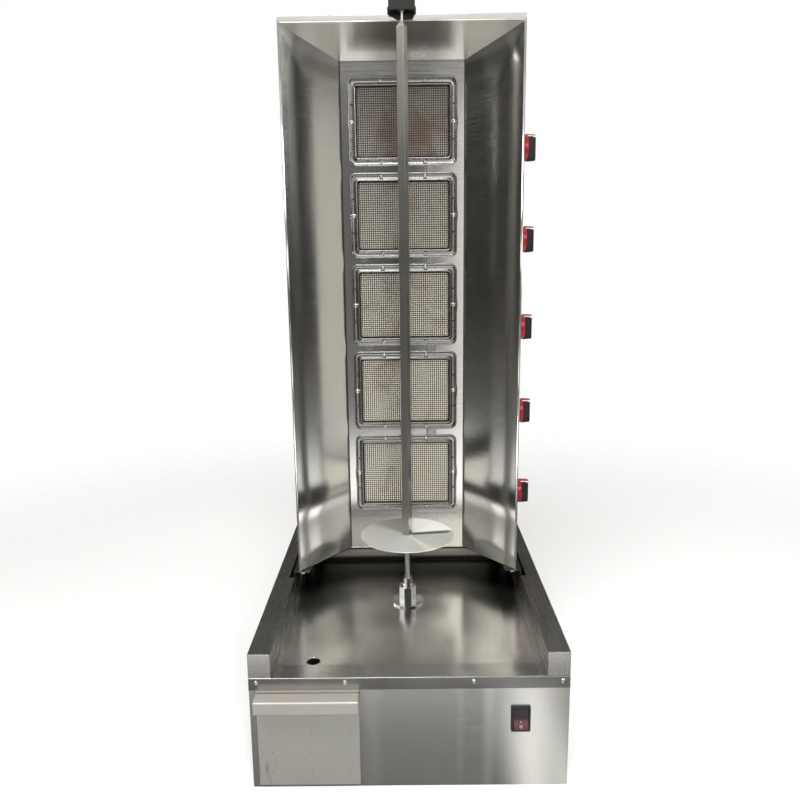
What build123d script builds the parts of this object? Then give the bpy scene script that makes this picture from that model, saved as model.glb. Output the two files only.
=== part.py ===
from build123d import *
import os
from math import hypot, radians, tan

# Vertical gas rotisserie: a base box with a drip pan and grease drawer, a motor that turns an
# upright skewer, and a burner tower that slides to and fro on two rails.
# Millimetres, +Z up, +X to the right, front towards -Y, origin under the middle of the base.

# Sheet metal and working gaps
sheet = 1.5
slide_gap = 0.3
running_fit = 0.05
hole_clear = 0.1
cut_over = 4.0

# Base box and drip pan
base_width = 545.0
base_height = 208.0
pan_front_rim = 38.0
pan_rear_rim = 104.0
pan_side_step = 1.5
pan_sink = 14.0
pan_corner = 12.0
lip_height = 22.0
lip_edge = 1.2
drain_radius = 12.5
drain_from_front = 76.0
drain_off_drawer = 2.5
spout_wall = 1.5
spout_length = 26.0

# Lip screws
lip_head_radius = 4.6
lip_head_height = 2.6
lip_shank_radius = 2.0
lip_shank_length = 9.0
lip_screw_drop = 9.0
lip_screw_from_end = 12.5
lip_inner_share = 0.4

# Rails on the base
rail_width = 38.0
rail_height = 43.0
notch_width = 11.5
notch_before_tower = 18.0
notch_from_rear = 10.0

# Grease drawer
drawer_from_left = 11.5
drawer_width = 175.0
drawer_bottom = 4.0
drawer_under_lip = 6.0
pull_reach = 28.0
pull_drop = 22.0
pull_bend = 3.0
drawer_cover = 10.0
tray_clear = 3.0
tray_length = 300.0
tray_below_front = 29.7
runner_ledge_width = 15.0
runner_ledge_height = 12.0
runner_guide_height = 40.0

# Rocker switch
switch_from_right = 82.5
switch_from_top = 79.5
bezel_width = 33.4
bezel_height = 48.0
bezel_proud = 3.0
bezel_rim = 3.6
bezel_corner = 2.5
switch_lip = 2.2
switch_depth = 24.0
rocker_gap = 0.6
rocker_pivot_in = 2.0
rocker_end_out = 6.5
rocker_mid_out = 4.6
rocker_back = 6.0
rocker_back_half = 11.0
rocker_end_gap = 1.0
rocker_tilt = 8.0

# Cable gland on the back of the base
gland_from_right = 122.5
gland_height = 60.0
gland_nut_radius = 11.0
gland_nut_length = 8.0
gland_body_radius = 8.0
gland_inside = 10.0
gland_dome_length = 10.0
gland_dome_radius = 9.0
cord_radius = 4.0

# Spindle bearing and drive
skewer_from_front = 307.0
flange_radius = 32.5
flange_thick = 3.5
collar_radius = 18.5
collar_height = 33.0
collar_sides = 8
neck_radius = 15.0
neck_length = 16.0
bush_radius = 11.0
bush_length = 30.0
shaft_radius = 7.5
socket_radius = 9.5
socket_height = 17.0
socket_gap = 0.5
socket_depth = 14.0
socket_slot_width = 5.5
socket_slot_depth = 9.0
bracket_half_x = 62.0
bracket_half_y = 40.0
bracket_drop = 30.0
bracket_flange = 16.0
gearbox_x = 92.0
gearbox_y = 70.0
gearbox_height = 46.0
gearbox_corner = 10.0
gearbox_offset = 12.0
output_depth = 22.0
motor_radius = 34.0
motor_height = 66.0
motor_cap_radius = 24.0
motor_cap_height = 8.0

# Skewer and meat plate
shank_radius = 5.8
socket_play = 0.4
bar_size = 14.6
bar_turn = -28.0
plate_above_pan = 147.0
plate_radius = 95.0
plate_thick = 2.0
plate_slot_width = 15.0
plate_slot_turn = 8.0
plate_play = 0.2
stop_ledge = 4.0
stop_height = 8.0
bar_below_top = 25.0
point_height = 12.0
pin_radius = 2.5
pin_height = 21.0
cross_pin_radius = 2.2
cross_pin_half = 9.0
cross_pin_lift = 0.4

# Burner tower
tower_side_gap = 6.5
tower_depth = 245.0
tower_behind_skewer = 14.0
tower_travel = 50.0
base_behind_tower = 9.0
tower_lift = 4.0
tower_height = 1081.0
lid_flange = 10.0
panel_set_back = 130.0
panel_border = 16.0
panel_lap = 10.0
reflector_drop = 36.0
cover_above_pan = 4.0
vent_columns = 2
vent_rows = 6
vent_width = 110.0
vent_height = 7.0
vent_pitch_x = 190.0
vent_pitch_z = 26.0
vent_above_floor = 720.0

# Runners that carry the tower in the rails
runner_bar = 3.0
runner_web_in = 2.0
runner_top_width = 34.5
runner_foot_width = 20.0
runner_end_in = 4.0
bolt_gap = 0.5
bolt_from_rear = 25.0
bolt_radius = 4.0
bolt_head_radius = 7.5
bolt_head_height = 5.5
bolt_tail = 6.0

# Burners
burner_gap = 13.0
burner_drop = 164.5
lowest_burner = 176.0
tile_width = 92.0
tile_height = 132.0
tile_depth = 13.0
frame_side = 19.0
frame_end = 20.0
frame_corner = 14.0
frame_crest = 1.0
frame_rim_proud = 4.0
frame_draft = 22.0
bead_width = 8.5
bead_proud = 7.0
bead_draft = 28.0
bead_slope = 35.0
bead_corner = 7.0
mesh_lap = 3.0
mesh_thick = 0.8
mesh_wire = 1.6
mesh_columns = 10
mesh_rows = 6
panel_window_margin = 7.0
bowl_flange = 8.0
bowl_depth = 44.0
bowl_draft = 12.0
tile_ledge = 6.0
tile_play = 0.3
tube_radius = 11.0
tube_wall = 1.5
tube_end_from_side = 64.0

# Gas valves, knobs, manifold and inlet
valve_behind_panel = 20.0
valve_drop = 51.0
valve_half = 11.0
valve_length = 34.0
valve_plate_radius = 15.0
valve_plate_thick = 4.0
valve_boss_half = 9.0
valve_boss_reach = 20.0
injector_radius = 4.0
injector_length = 16.0
stem_radius = 4.0
stem_in = 20.0
stem_out = 24.0
stem_hole_clear = 1.5
knob_gap = 2.0
knob_radius = 29.0
knob_taper = 4.0
knob_skirt = 30.0
knob_edge = 16.0
grip_reach = 46.0
grip_end_in = 1.5
grip_width = 15.0
grip_draft = 4.0
grip_root = 1.0
manifold_radius = 11.0
manifold_wall = 2.0
manifold_behind = 36.0
manifold_over = 40.0
inlet_above_floor = 55.0
branch_radius = 6.0
inlet_nut_radius = 15.0
inlet_nut_length = 9.0
inlet_tail_radius = 9.5
inlet_radius = 10.5
inlet_bore = 7.0
inlet_length = 18.0
inlet_seat = 6.0

# Top arm that holds the skewer's pin
arm_width = 48.0
arm_height = 22.0
arm_wall = 2.0
arm_corner = 3.0
arm_length = 230.0
arm_nose = 8.0
saddle_plate = 2.0
saddle_side = 2.0
saddle_length = 130.0
saddle_side_height = 14.0
saddle_start = 10.0
strap_from_front = 55.0
strap_length = 26.0
strap_thick = 3.0
tab_drop = 9.5
tab_foot_right = 5.5
tab_foot_width = 28.0
arm_bush_radius = 6.0
arm_bush_proud = 1.0
pin_play = 0.1
clamp_radius = 4.0
clamp_head_radius = 11.0
clamp_head_height = 9.0
clamp_neck = 4.0

# Places worked out from the sizes above
half_width = base_width / 2
base_depth = (skewer_from_front + tower_behind_skewer + tower_depth + tower_travel
              + base_behind_tower)
front_y = -base_depth / 2
rear_y = base_depth / 2
pan_floor = base_height - pan_sink
rail_top = base_height + rail_height
skewer_y = front_y + skewer_from_front
collar_top = pan_floor + flange_thick + collar_height
socket_bottom = collar_top + socket_gap
socket_top = socket_bottom + socket_height
bracket_floor = pan_floor - sheet - bracket_drop
plate_height = pan_floor + plate_above_pan
stop_radius = bar_size / 2 + stop_ledge
tower_front = skewer_y + tower_behind_skewer
tower_rear = tower_front + tower_depth
tower_bottom = rail_top + tower_lift
tower_top = tower_bottom + tower_height
casing_bottom = tower_bottom + sheet
casing_top = tower_top - lid_flange
bar_top = tower_top - bar_below_top
tower_half = half_width - rail_width - tower_side_gap
panel_y = tower_front + panel_set_back
window_width = 2 * tile_width
window_height = tile_height
frame_width = window_width + 2 * frame_side
frame_height = window_height + 2 * frame_end
panel_half = frame_width / 2 + panel_border
wing_run = tower_half - panel_half
wing_stretch = hypot(wing_run, panel_set_back) / panel_set_back
wing_thick_x = sheet * wing_stretch
burner_pitch = frame_height + burner_gap
burner_count = 1 + int((tower_height - burner_drop - lowest_burner) / burner_pitch)
burner_heights = [tower_top - burner_drop - i * burner_pitch for i in range(burner_count)]
valve_y = panel_y + valve_behind_panel
valve_heights = [z - valve_drop for z in burner_heights]
side_inner = tower_half - sheet
drawer_left = -half_width + drawer_from_left
drawer_top = base_height - lip_height - drawer_under_lip
drawer_middle = drawer_left + drawer_width / 2
opening_half = drawer_width / 2 - drawer_cover
tray_half = opening_half - tray_clear
tray_bottom = sheet + runner_ledge_height + sheet + slide_gap
tray_top = drawer_top - tray_below_front
drain_place = (drawer_middle + drain_off_drawer, front_y + drain_from_front)
switch_x = half_width - switch_from_right
switch_z = base_height - switch_from_top
gland_x = half_width - gland_from_right
knob_face_radius = knob_radius - knob_taper
arm_bottom = tower_top + saddle_plate
arm_top = arm_bottom + arm_height
arm_front = skewer_y - arm_nose
low_end = (Align.CENTER, Align.CENTER, Align.MIN)


# Shapes that many pieces share
def block(x0, x1, y0, y1, z0, z1):
    """Box between two corners."""
    middle = Pos((x0 + x1) / 2, (y0 + y1) / 2, (z0 + z1) / 2)
    return middle * Box(x1 - x0, y1 - y0, z1 - z0)


def upright(radius, x, y, z0, z1):
    """Round bar along Z."""
    return Pos(x, y, z0) * Cylinder(radius, z1 - z0, align=low_end)


def crosswise(radius, x0, x1, y, z):
    """Round bar along X."""
    return Plane((x0, y, z), z_dir=(1, 0, 0)) * Cylinder(radius, x1 - x0, align=low_end)


def lengthwise(radius, x, y0, y1, z):
    """Round bar along Y."""
    return Plane((x, y0, z), z_dir=(0, 1, 0)) * Cylinder(radius, y1 - y0, align=low_end)


def plan_prism(points, z0, z1):
    """Outline drawn from above, raised from z0 to z1."""
    return Pos(0, 0, z0) * extrude(make_face(Polyline(*points, close=True)), z1 - z0)


def side_prism(points, x0, x1):
    """Outline of (y, z) points drawn from the side, drawn out from x0 to x1."""
    return extrude(Plane.YZ.offset(x0) * make_face(Polyline(*points, close=True)), x1 - x0)


def folded_sheet(points, bends, x0, x1):
    """Side outline like the one above whose corners in bends, pairs of point and radius, are round."""
    outline = make_face(Polyline(*points, close=True))
    for corner, radius in bends:
        outline = fillet(outline.vertices().sort_by_distance(Vector(*corner))[0], radius)
    return extrude(Plane.YZ.offset(x0) * outline, x1 - x0)


def facing(sketch, x, y0, z, depth, draft=0):
    """Sketch seen from the front at y0, drawn out towards the back."""
    plane = Plane((x, y0, z), x_dir=(1, 0, 0), z_dir=(0, -1, 0))
    return extrude(plane * sketch, -depth, taper=draft)


def coming_forward(sketch, x, y0, z, depth, draft=0):
    """Sketch seen from the front at y0, drawn out towards the viewer."""
    plane = Plane((x, y0, z), x_dir=(1, 0, 0), z_dir=(0, -1, 0))
    return extrude(plane * sketch, depth, taper=draft)


def turned(points):
    """Solid of revolution about Z from (radius, z) points."""
    return revolve(Plane.XZ * make_face(Polyline(*points, close=True)), Axis.Z)


def both_sides(right):
    """Mirror a right-hand piece to make the left-hand one."""
    return mirror(right, about=Plane.YZ)


# Base
def base_front_panel():
    panel = block(-half_width, half_width, front_y, front_y + sheet, 0, base_height - sheet)
    panel -= block(drawer_middle - opening_half, drawer_middle + opening_half,
                   front_y - cut_over, front_y + sheet + cut_over,
                   drawer_bottom + drawer_cover, drawer_top - drawer_cover)
    hole = Rectangle(bezel_width - 2 * switch_lip, bezel_height - 2 * switch_lip)
    panel -= facing(hole, switch_x, front_y - cut_over, switch_z, sheet + 2 * cut_over)
    return panel - lip_screw_holes()


def base_wrap():
    outer = block(-half_width, half_width, front_y + sheet, rear_y, 0, base_height - sheet)
    inner = block(-half_width + sheet, half_width - sheet, front_y, rear_y - sheet,
                  -cut_over, base_height)
    hole = lengthwise(gland_body_radius + hole_clear, gland_x,
                      rear_y - sheet - cut_over, rear_y + cut_over, gland_height)
    return outer - inner - hole


def base_floor():
    return block(-half_width + sheet, half_width - sheet, front_y + sheet, rear_y - sheet,
                 0, sheet)


def lip_screw_places():
    z = base_height - lip_screw_drop
    outer = half_width - lip_screw_from_end
    inner = half_width * lip_inner_share
    xs = (-outer, -inner, inner, outer)
    return [(x, z) for x in xs]


def lip_screw_holes():
    radius = lip_shank_radius + hole_clear
    y0 = front_y - sheet - cut_over
    y1 = front_y + sheet + cut_over
    return [lengthwise(radius, x, y0, y1, z) for x, z in lip_screw_places()]


def lip_screws():
    """Round heads on the lip, each a flattened dome on a shank."""
    shank = upright(lip_shank_radius, 0, 0, 0, lip_shank_length)
    dome_radius = (lip_head_radius ** 2 + lip_head_height ** 2) / (2 * lip_head_height)
    ball = Pos(0, 0, dome_radius - lip_head_height) * Sphere(dome_radius)
    dome = ball & upright(lip_head_radius, 0, 0, -lip_head_height, 0)
    screw = dome + shank
    places = [Plane((x, front_y - sheet, z), z_dir=(0, 1, 0)) for x, z in lip_screw_places()]
    return Compound([place * screw for place in places])


def drip_pan():
    """Sunk dish in a flat rim that folds down as a lip in front."""
    dish_width = base_width - 2 * (rail_width + pan_side_step)
    dish_depth = base_depth - pan_front_rim - pan_rear_rim
    dish_y = front_y + pan_front_rim + dish_depth / 2
    middle = Pos(0, dish_y, 0)
    nose = (front_y - sheet, base_height)
    lip_bottom = base_height - lip_height
    profile = [(rear_y, base_height), nose, (front_y - sheet, lip_bottom), (front_y, lip_bottom),
               (front_y, base_height - sheet), (rear_y, base_height - sheet)]
    rim = folded_sheet(profile, [(nose, lip_edge)], -half_width, half_width)
    outside = RectangleRounded(dish_width, dish_depth, pan_corner)
    inside = RectangleRounded(dish_width - 2 * sheet, dish_depth - 2 * sheet, pan_corner - sheet)
    dish = middle * Pos(0, 0, pan_floor - sheet) * extrude(outside, pan_sink)
    hollow = middle * Pos(0, 0, pan_floor) * extrude(inside, pan_sink + cut_over)
    drain = upright(drain_radius, *drain_place, pan_floor - sheet - cut_over, base_height)
    spindle = upright(neck_radius + hole_clear, 0, skewer_y,
                      pan_floor - sheet - cut_over, base_height)
    return rim + dish - hollow - drain - spindle - lip_screw_holes()


def drain_spout():
    z1 = pan_floor - sheet
    z0 = z1 - spout_length
    pipe = upright(drain_radius + spout_wall, *drain_place, z0, z1)
    return pipe - upright(drain_radius, *drain_place, z0 - cut_over, z1 + cut_over)


def right_rail():
    """Closed box rail, open at the inner top edge along the tower's travel."""
    x0 = half_width - rail_width
    rail = block(x0, half_width, front_y, rear_y, base_height, rail_top)
    rail -= block(x0 + sheet, half_width - sheet, front_y + sheet, rear_y - sheet,
                  base_height + sheet, rail_top - sheet)
    rail -= block(x0 - cut_over, x0 + notch_width, tower_front - notch_before_tower,
                  rear_y - notch_from_rear, base_height + sheet, rail_top + cut_over)
    return rail


def drawer_runners():
    """Angle on each side: a ledge under the tray and a guide beside it, standing on the floor."""
    x0 = tray_half + slide_gap
    y0 = front_y + sheet
    y1 = front_y + tray_length
    ledge_top = tray_bottom - slide_gap
    guide = block(x0, x0 + sheet, y0, y1, sheet, sheet + runner_guide_height)
    ledge = block(x0 - runner_ledge_width, x0, y0, y1, ledge_top - sheet, ledge_top)
    runner = guide + ledge
    return Pos(drawer_middle, 0, 0) * Compound([both_sides(runner), runner])


# Drawer
def drawer_front():
    """Face plate whose top folds out and down into a finger pull."""
    back = front_y - slide_gap
    face = back - sheet
    nose = face - pull_reach
    under = drawer_top - sheet
    points = [(back, drawer_bottom), (back, drawer_top), (nose, drawer_top),
              (nose, drawer_top - pull_drop), (nose + sheet, drawer_top - pull_drop),
              (nose + sheet, under), (face, under), (face, drawer_bottom)]
    outer = [((back, drawer_top), pull_bend), ((nose, drawer_top), pull_bend)]
    inner = [((nose + sheet, under), pull_bend - sheet), ((face, under), pull_bend - sheet)]
    return folded_sheet(points, outer + inner, drawer_left, drawer_left + drawer_width)


def drawer_tray():
    y0 = front_y - slide_gap
    y1 = y0 + tray_length
    tray = block(-tray_half, tray_half, y0, y1, tray_bottom, tray_top)
    tray -= block(-tray_half + sheet, tray_half - sheet, y0 + sheet, y1 - sheet,
                  tray_bottom + sheet, tray_top + cut_over)
    return Pos(drawer_middle, 0, 0) * tray


# Switch
def switch_housing():
    """Bezel on the front panel with a snap-in body behind it, open for the rocker."""
    y = front_y
    bezel = facing(RectangleRounded(bezel_width, bezel_height, bezel_corner),
                   switch_x, y - bezel_proud, switch_z, bezel_proud)
    body = facing(Rectangle(bezel_width - 2 * switch_lip, bezel_height - 2 * switch_lip),
                  switch_x, y, switch_z, switch_depth)
    mouth = facing(Rectangle(bezel_width - 2 * bezel_rim, bezel_height - 2 * bezel_rim),
                   switch_x, y - bezel_proud - cut_over, switch_z,
                   bezel_proud + cut_over + switch_depth - bezel_rim)
    return bezel + body - mouth


def switch_rocker():
    """Rocker with a shallow hollow across the face, its upper end pressed in."""
    half = bezel_width / 2 - bezel_rim - rocker_gap
    end = bezel_height / 2 - bezel_rim - rocker_end_gap
    points = [(-rocker_end_out, end), (-rocker_mid_out, 0), (-rocker_end_out, -end),
              (rocker_back, -rocker_back_half), (rocker_back, rocker_back_half)]
    rocker = side_prism(points, -half, half)
    pivot = Pos(switch_x, front_y + rocker_pivot_in, switch_z)
    return pivot * Rot(-rocker_tilt, 0, 0) * rocker


def cable_gland():
    """Gland for the mains cord: thread and nut in the panel, domed cap outside."""
    points = [(cord_radius, -gland_inside), (gland_body_radius, -gland_inside),
              (gland_body_radius, sheet), (gland_nut_radius, sheet),
              (gland_nut_radius, sheet + gland_nut_length),
              (gland_dome_radius, sheet + gland_nut_length),
              (gland_body_radius, sheet + gland_nut_length + gland_dome_length),
              (cord_radius, sheet + gland_nut_length + gland_dome_length)]
    place = Plane((gland_x, rear_y - sheet, gland_height), z_dir=(0, 1, 0))
    return place * turned(points)


# Drive
def bearing_housing():
    """Flange on the pan floor, faceted collar above it and a neck through the pan."""
    flange = upright(flange_radius, 0, 0, pan_floor, pan_floor + flange_thick)
    collar = RegularPolygon(collar_radius, collar_sides, rotation=180 / collar_sides)
    collar = Pos(0, 0, pan_floor + flange_thick) * extrude(collar, collar_height)
    neck = upright(neck_radius, 0, 0, pan_floor - neck_length, pan_floor)
    seat = upright(bush_radius + running_fit, 0, 0, collar_top - bush_length, collar_top + cut_over)
    bore = upright(shaft_radius + slide_gap, 0, 0, pan_floor - neck_length - cut_over, collar_top)
    return Pos(0, skewer_y, 0) * (flange + collar + neck - seat - bore)


def bearing_bush():
    z0 = collar_top - bush_length
    bush = upright(bush_radius, 0, skewer_y, z0, collar_top)
    return bush - upright(shaft_radius + running_fit, 0, skewer_y, z0 - cut_over,
                          collar_top + cut_over)


def drive_shaft():
    """Shaft out of the gearbox with a slotted socket on top for the skewer's cross pin."""
    shaft = upright(shaft_radius, 0, 0, bracket_floor - output_depth, socket_bottom)
    socket = upright(socket_radius, 0, 0, socket_bottom, socket_top)
    hole = upright(shank_radius + socket_play, 0, 0, socket_top - socket_depth,
                   socket_top + cut_over)
    slot = block(-socket_radius - cut_over, socket_radius + cut_over,
                 -socket_slot_width / 2, socket_slot_width / 2,
                 socket_top - socket_slot_depth, socket_top + cut_over)
    return Pos(0, skewer_y, 0) * Rot(0, 0, bar_turn) * (shaft + socket - hole - slot)


def motor_bracket():
    """Channel hung under the pan, with flanges along its sides."""
    top = pan_floor - sheet
    plate_top = bracket_floor + sheet
    plate = block(-bracket_half_x, bracket_half_x, -bracket_half_y, bracket_half_y,
                  bracket_floor, plate_top)
    wall = block(bracket_half_x - sheet, bracket_half_x, -bracket_half_y, bracket_half_y,
                 bracket_floor, top)
    flange = block(bracket_half_x, bracket_half_x + bracket_flange,
                   -bracket_half_y, bracket_half_y, top - sheet, top)
    side = wall + flange
    hole = upright(neck_radius, 0, 0, bracket_floor - cut_over, plate_top + cut_over)
    return Pos(0, skewer_y, 0) * (plate + side + both_sides(side) - hole)


def gearbox():
    z0 = bracket_floor - gearbox_height
    case = Pos(gearbox_offset, 0, z0) * extrude(
        RectangleRounded(gearbox_x, gearbox_y, gearbox_corner), gearbox_height)
    bore = upright(shaft_radius + running_fit, 0, 0, bracket_floor - output_depth,
                   bracket_floor + cut_over)
    return Pos(0, skewer_y, 0) * (case - bore)


def motor():
    """Motor can with a stepped end cap, hung under the gearbox."""
    top = bracket_floor - gearbox_height
    points = [(0, top), (motor_radius, top), (motor_radius, top - motor_height),
              (motor_cap_radius, top - motor_height),
              (motor_cap_radius, top - motor_height - motor_cap_height),
              (0, top - motor_height - motor_cap_height)]
    return Pos(gearbox_offset, skewer_y, 0) * turned(points)


# Skewer
def skewer():
    """Square bar with a point and pin on top, and a round shank with a cross pin below."""
    shank_bottom = socket_top - socket_depth + socket_play
    shank = upright(shank_radius, 0, 0, shank_bottom, plate_height)
    stop = upright(stop_radius, 0, 0, plate_height - stop_height, plate_height)
    bar = Pos(0, 0, plate_height) * extrude(Rectangle(bar_size, bar_size), bar_top - plate_height)
    point = loft([Pos(0, 0, bar_top) * Rectangle(bar_size, bar_size),
                  Pos(0, 0, bar_top + point_height) * Rectangle(pin_radius, pin_radius)])
    pin = upright(pin_radius, 0, 0, bar_top, bar_top + point_height + pin_height)
    cross_z = socket_top - socket_slot_depth + cross_pin_radius + cross_pin_lift
    cross = crosswise(cross_pin_radius, -cross_pin_half, cross_pin_half, 0, cross_z)
    return Pos(0, skewer_y, 0) * Rot(0, 0, bar_turn) * (shank + stop + bar + point + pin + cross)


def meat_plate():
    """Round plate with a square hole for the bar and one slot out to the edge."""
    disc = Circle(plate_radius)
    hole = Rot(0, 0, bar_turn) * Rectangle(bar_size + 2 * plate_play, bar_size + 2 * plate_play)
    slot = Rot(0, 0, plate_slot_turn) * Pos(plate_radius / 2 + bar_size / 2, 0) * Rectangle(
        plate_radius, plate_slot_width)
    return Pos(0, skewer_y, plate_height) * extrude(disc - hole - slot, plate_thick)


# Tower
def right_casing():
    """One sheet folded at the front edge: slanting wing inside, flat side outside."""
    fold_back = (wing_thick_x + sheet) * panel_set_back / wing_run
    back = tower_rear - sheet
    points = [(tower_half, tower_front), (panel_half, panel_y),
              (panel_half + wing_thick_x, panel_y),
              (side_inner, tower_front + fold_back),
              (side_inner, back), (tower_half, back)]
    return plan_prism(points, casing_bottom, casing_top)


def casing_with_stem_holes():
    radius = stem_radius + stem_hole_clear
    holes = [crosswise(radius, side_inner - cut_over, tower_half + cut_over, valve_y, z)
             for z in valve_heights]
    return right_casing() - holes


def tower_floor():
    """Bottom plate with the outline of the casing, notched for the space in front of the burners."""
    cover_inner = tower_rear - sheet
    right = [(tower_half, cover_inner), (tower_half, tower_front), (panel_half, panel_y)]
    left = [(-x, y) for x, y in reversed(right)]
    floor = plan_prism(right + left, tower_bottom, casing_bottom)
    radius = bolt_radius + hole_clear
    holes = [upright(radius, x, y, tower_bottom - cut_over, casing_bottom + cut_over)
             for x, y in bolt_places()]
    return floor - holes


def rear_cover():
    """Back plate down to just above the pan, with rows of vent slots and a hole for the gas inlet."""
    y0 = tower_rear - sheet
    cover = block(-tower_half, tower_half, y0, tower_rear, base_height + cover_above_pan, casing_top)
    grid = GridLocations(vent_pitch_x, vent_pitch_z, vent_columns, vent_rows)
    slots = Sketch() + grid * SlotOverall(vent_width, vent_height)
    cover -= facing(slots, 0, y0 - cut_over, tower_bottom + vent_above_floor,
                    sheet + 2 * cut_over)
    return cover - lengthwise(inlet_tail_radius + hole_clear, manifold_x(), y0 - cut_over,
                              tower_rear + cut_over, inlet_z())


def tower_lid():
    """Shallow lid whose front flange is the bright strip along the tower's top."""
    lid = block(-tower_half, tower_half, tower_front, tower_rear, casing_top, tower_top)
    return lid - block(-side_inner, side_inner, tower_front + sheet, tower_rear - sheet,
                       casing_top - cut_over, tower_top - sheet)


def top_reflector():
    """Sheet that slopes from the lid's front flange down to the burner panel."""
    points = [(tower_front, casing_top), (panel_y, casing_top - reflector_drop),
              (panel_y, casing_top - reflector_drop - sheet), (tower_front, casing_top - sheet)]
    slope = side_prism(points, -tower_half, tower_half)
    space = plan_prism([(tower_half, tower_front), (panel_half, panel_y),
                        (-panel_half, panel_y), (-tower_half, tower_front)],
                       casing_bottom, casing_top)
    return slope & space


def burner_panel():
    half = panel_half + panel_lap
    panel = block(-half, half, panel_y, panel_y + sheet, casing_bottom, casing_top)
    window = Rectangle(window_width + 2 * panel_window_margin,
                       window_height + 2 * panel_window_margin)
    for z in burner_heights:
        panel -= facing(window, 0, panel_y - cut_over, z, sheet + 2 * cut_over)
    return panel


def bolt_places():
    """A bolt near each corner: the front ones where the fold is just wide enough for them."""
    x = side_inner - bolt_gap - bolt_radius
    room = (bolt_radius + bolt_gap + sheet) * (1 + wing_stretch)
    ys = (tower_front + room * panel_set_back / wing_run, tower_rear - bolt_from_rear)
    return [(side * x, y) for side in (1, -1) for y in ys]


def tower_runners():
    """Bent bar on each side: it hangs from the tower floor and its foot slides inside the rail."""
    rail_inner = half_width - rail_width
    web1 = rail_inner + runner_web_in + runner_bar
    web0 = web1 - runner_bar
    foot_bottom = base_height + sheet + slide_gap
    y0 = tower_front + runner_end_in
    y1 = tower_rear - runner_end_in
    runner = block(web1 - runner_top_width, web1, y0, y1, tower_bottom - runner_bar, tower_bottom)
    runner += block(web0, web1, y0, y1, foot_bottom, tower_bottom)
    runner += block(web1, web1 + runner_foot_width, y0, y1, foot_bottom, foot_bottom + runner_bar)
    both = Compound([runner, both_sides(runner)])
    radius = bolt_radius + hole_clear
    holes = [upright(radius, x, y, tower_bottom - runner_bar - cut_over, tower_bottom + cut_over)
             for x, y in bolt_places()]
    return both - holes


def runner_bolts():
    """Six-sided heads under the runners, tails up through the tower floor."""
    under = tower_bottom - runner_bar
    head = Pos(0, 0, under - bolt_head_height) * extrude(
        RegularPolygon(bolt_head_radius, 6), bolt_head_height)
    bolt = head + upright(bolt_radius, 0, 0, under, casing_bottom + bolt_tail)
    return Compound([Pos(x, y, 0) * bolt for x, y in bolt_places()])


# Burners
def burner_frame(z):
    """Stamped frame: drafted rim, channel with sloping walls and a bead that slopes to the window."""
    outline = RectangleRounded(frame_width, frame_height, frame_corner)
    crest_in = frame_rim_proud * tan(radians(frame_draft)) + frame_crest
    pocket = RectangleRounded(frame_width - 2 * crest_in, frame_height - 2 * crest_in,
                              frame_corner - crest_in)
    bead = RectangleRounded(window_width + 2 * bead_width, window_height + 2 * bead_width,
                            bead_corner)
    window = Rectangle(window_width, window_height)
    blank = coming_forward(outline, 0, panel_y, z, frame_rim_proud, frame_draft)
    channel = facing(pocket, 0, panel_y - frame_rim_proud, z, frame_rim_proud - sheet, frame_draft)
    raised = coming_forward(bead, 0, panel_y - sheet, z, bead_proud - sheet, bead_draft)
    opening = coming_forward(window, 0, panel_y + cut_over, z, cut_over + sheet)
    flare = coming_forward(window, 0, panel_y - sheet, z, bead_proud - sheet + cut_over, -bead_slope)
    return blank - channel + raised - opening - flare


def burner_mesh(z):
    """Wire screen behind the frame: one sheet with a grid of gaps."""
    width = window_width + 2 * mesh_lap
    height = window_height + 2 * mesh_lap
    pitch_x = window_width / mesh_columns
    pitch_z = window_height / mesh_rows
    gaps = GridLocations(pitch_x, pitch_z, mesh_columns, mesh_rows) * Rectangle(
        pitch_x - mesh_wire, pitch_z - mesh_wire)
    return facing(Rectangle(width, height) - gaps, 0, panel_y, z, mesh_thick)


def ceramic_tiles():
    """Two flat burner tiles side by side in each window."""
    y0 = panel_y + mesh_thick
    tiles = []
    for z in burner_heights:
        for x0 in (-tile_width, 0):
            tiles.append(block(x0, x0 + tile_width, y0, y0 + tile_depth,
                               z - tile_height / 2, z + tile_height / 2))
    return Compound(tiles)


def mixing_bowl(z):
    """Pressed bowl behind the panel with a ledge for the tiles and a mixing tube at its side."""
    back = panel_y + sheet
    tile_back = panel_y + mesh_thick + tile_depth
    mouth_w = window_width + 2 * tile_play
    mouth_h = window_height + 2 * tile_play
    outer_w = mouth_w + 2 * sheet
    outer_h = mouth_h + 2 * sheet
    flange = facing(Rectangle(outer_w + 2 * bowl_flange, outer_h + 2 * bowl_flange),
                    0, back, z, sheet)
    seat = facing(Rectangle(outer_w, outer_h), 0, back, z, tile_back - back + sheet)
    mouth = facing(Rectangle(mouth_w, mouth_h), 0, back - cut_over, z,
                   tile_back - back + cut_over)
    inner_w = window_width - 2 * tile_ledge
    inner_h = window_height - 2 * tile_ledge
    shell = facing(Rectangle(inner_w + 2 * sheet, inner_h + 2 * sheet), 0, tile_back, z,
                   bowl_depth - tile_depth, bowl_draft)
    hollow = facing(Rectangle(inner_w, inner_h), 0, tile_back, z,
                    bowl_depth - tile_depth - sheet, bowl_draft)
    tube_z = z - valve_drop
    tube_end = side_inner - tube_end_from_side
    tube = crosswise(tube_radius, panel_half / 2, tube_end, valve_y, tube_z)
    bore = crosswise(tube_radius - tube_wall, panel_half / 2, tube_end + cut_over, valve_y, tube_z)
    return flange + seat + shell + tube - mouth - hollow - bore


def mixing_bowls():
    return Compound([mixing_bowl(z) for z in burner_heights])


# Gas train
def manifold_x():
    return side_inner - valve_length / 2 - valve_plate_thick


def manifold_y():
    return valve_y + manifold_behind


def inlet_z():
    return tower_bottom + inlet_above_floor


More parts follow.
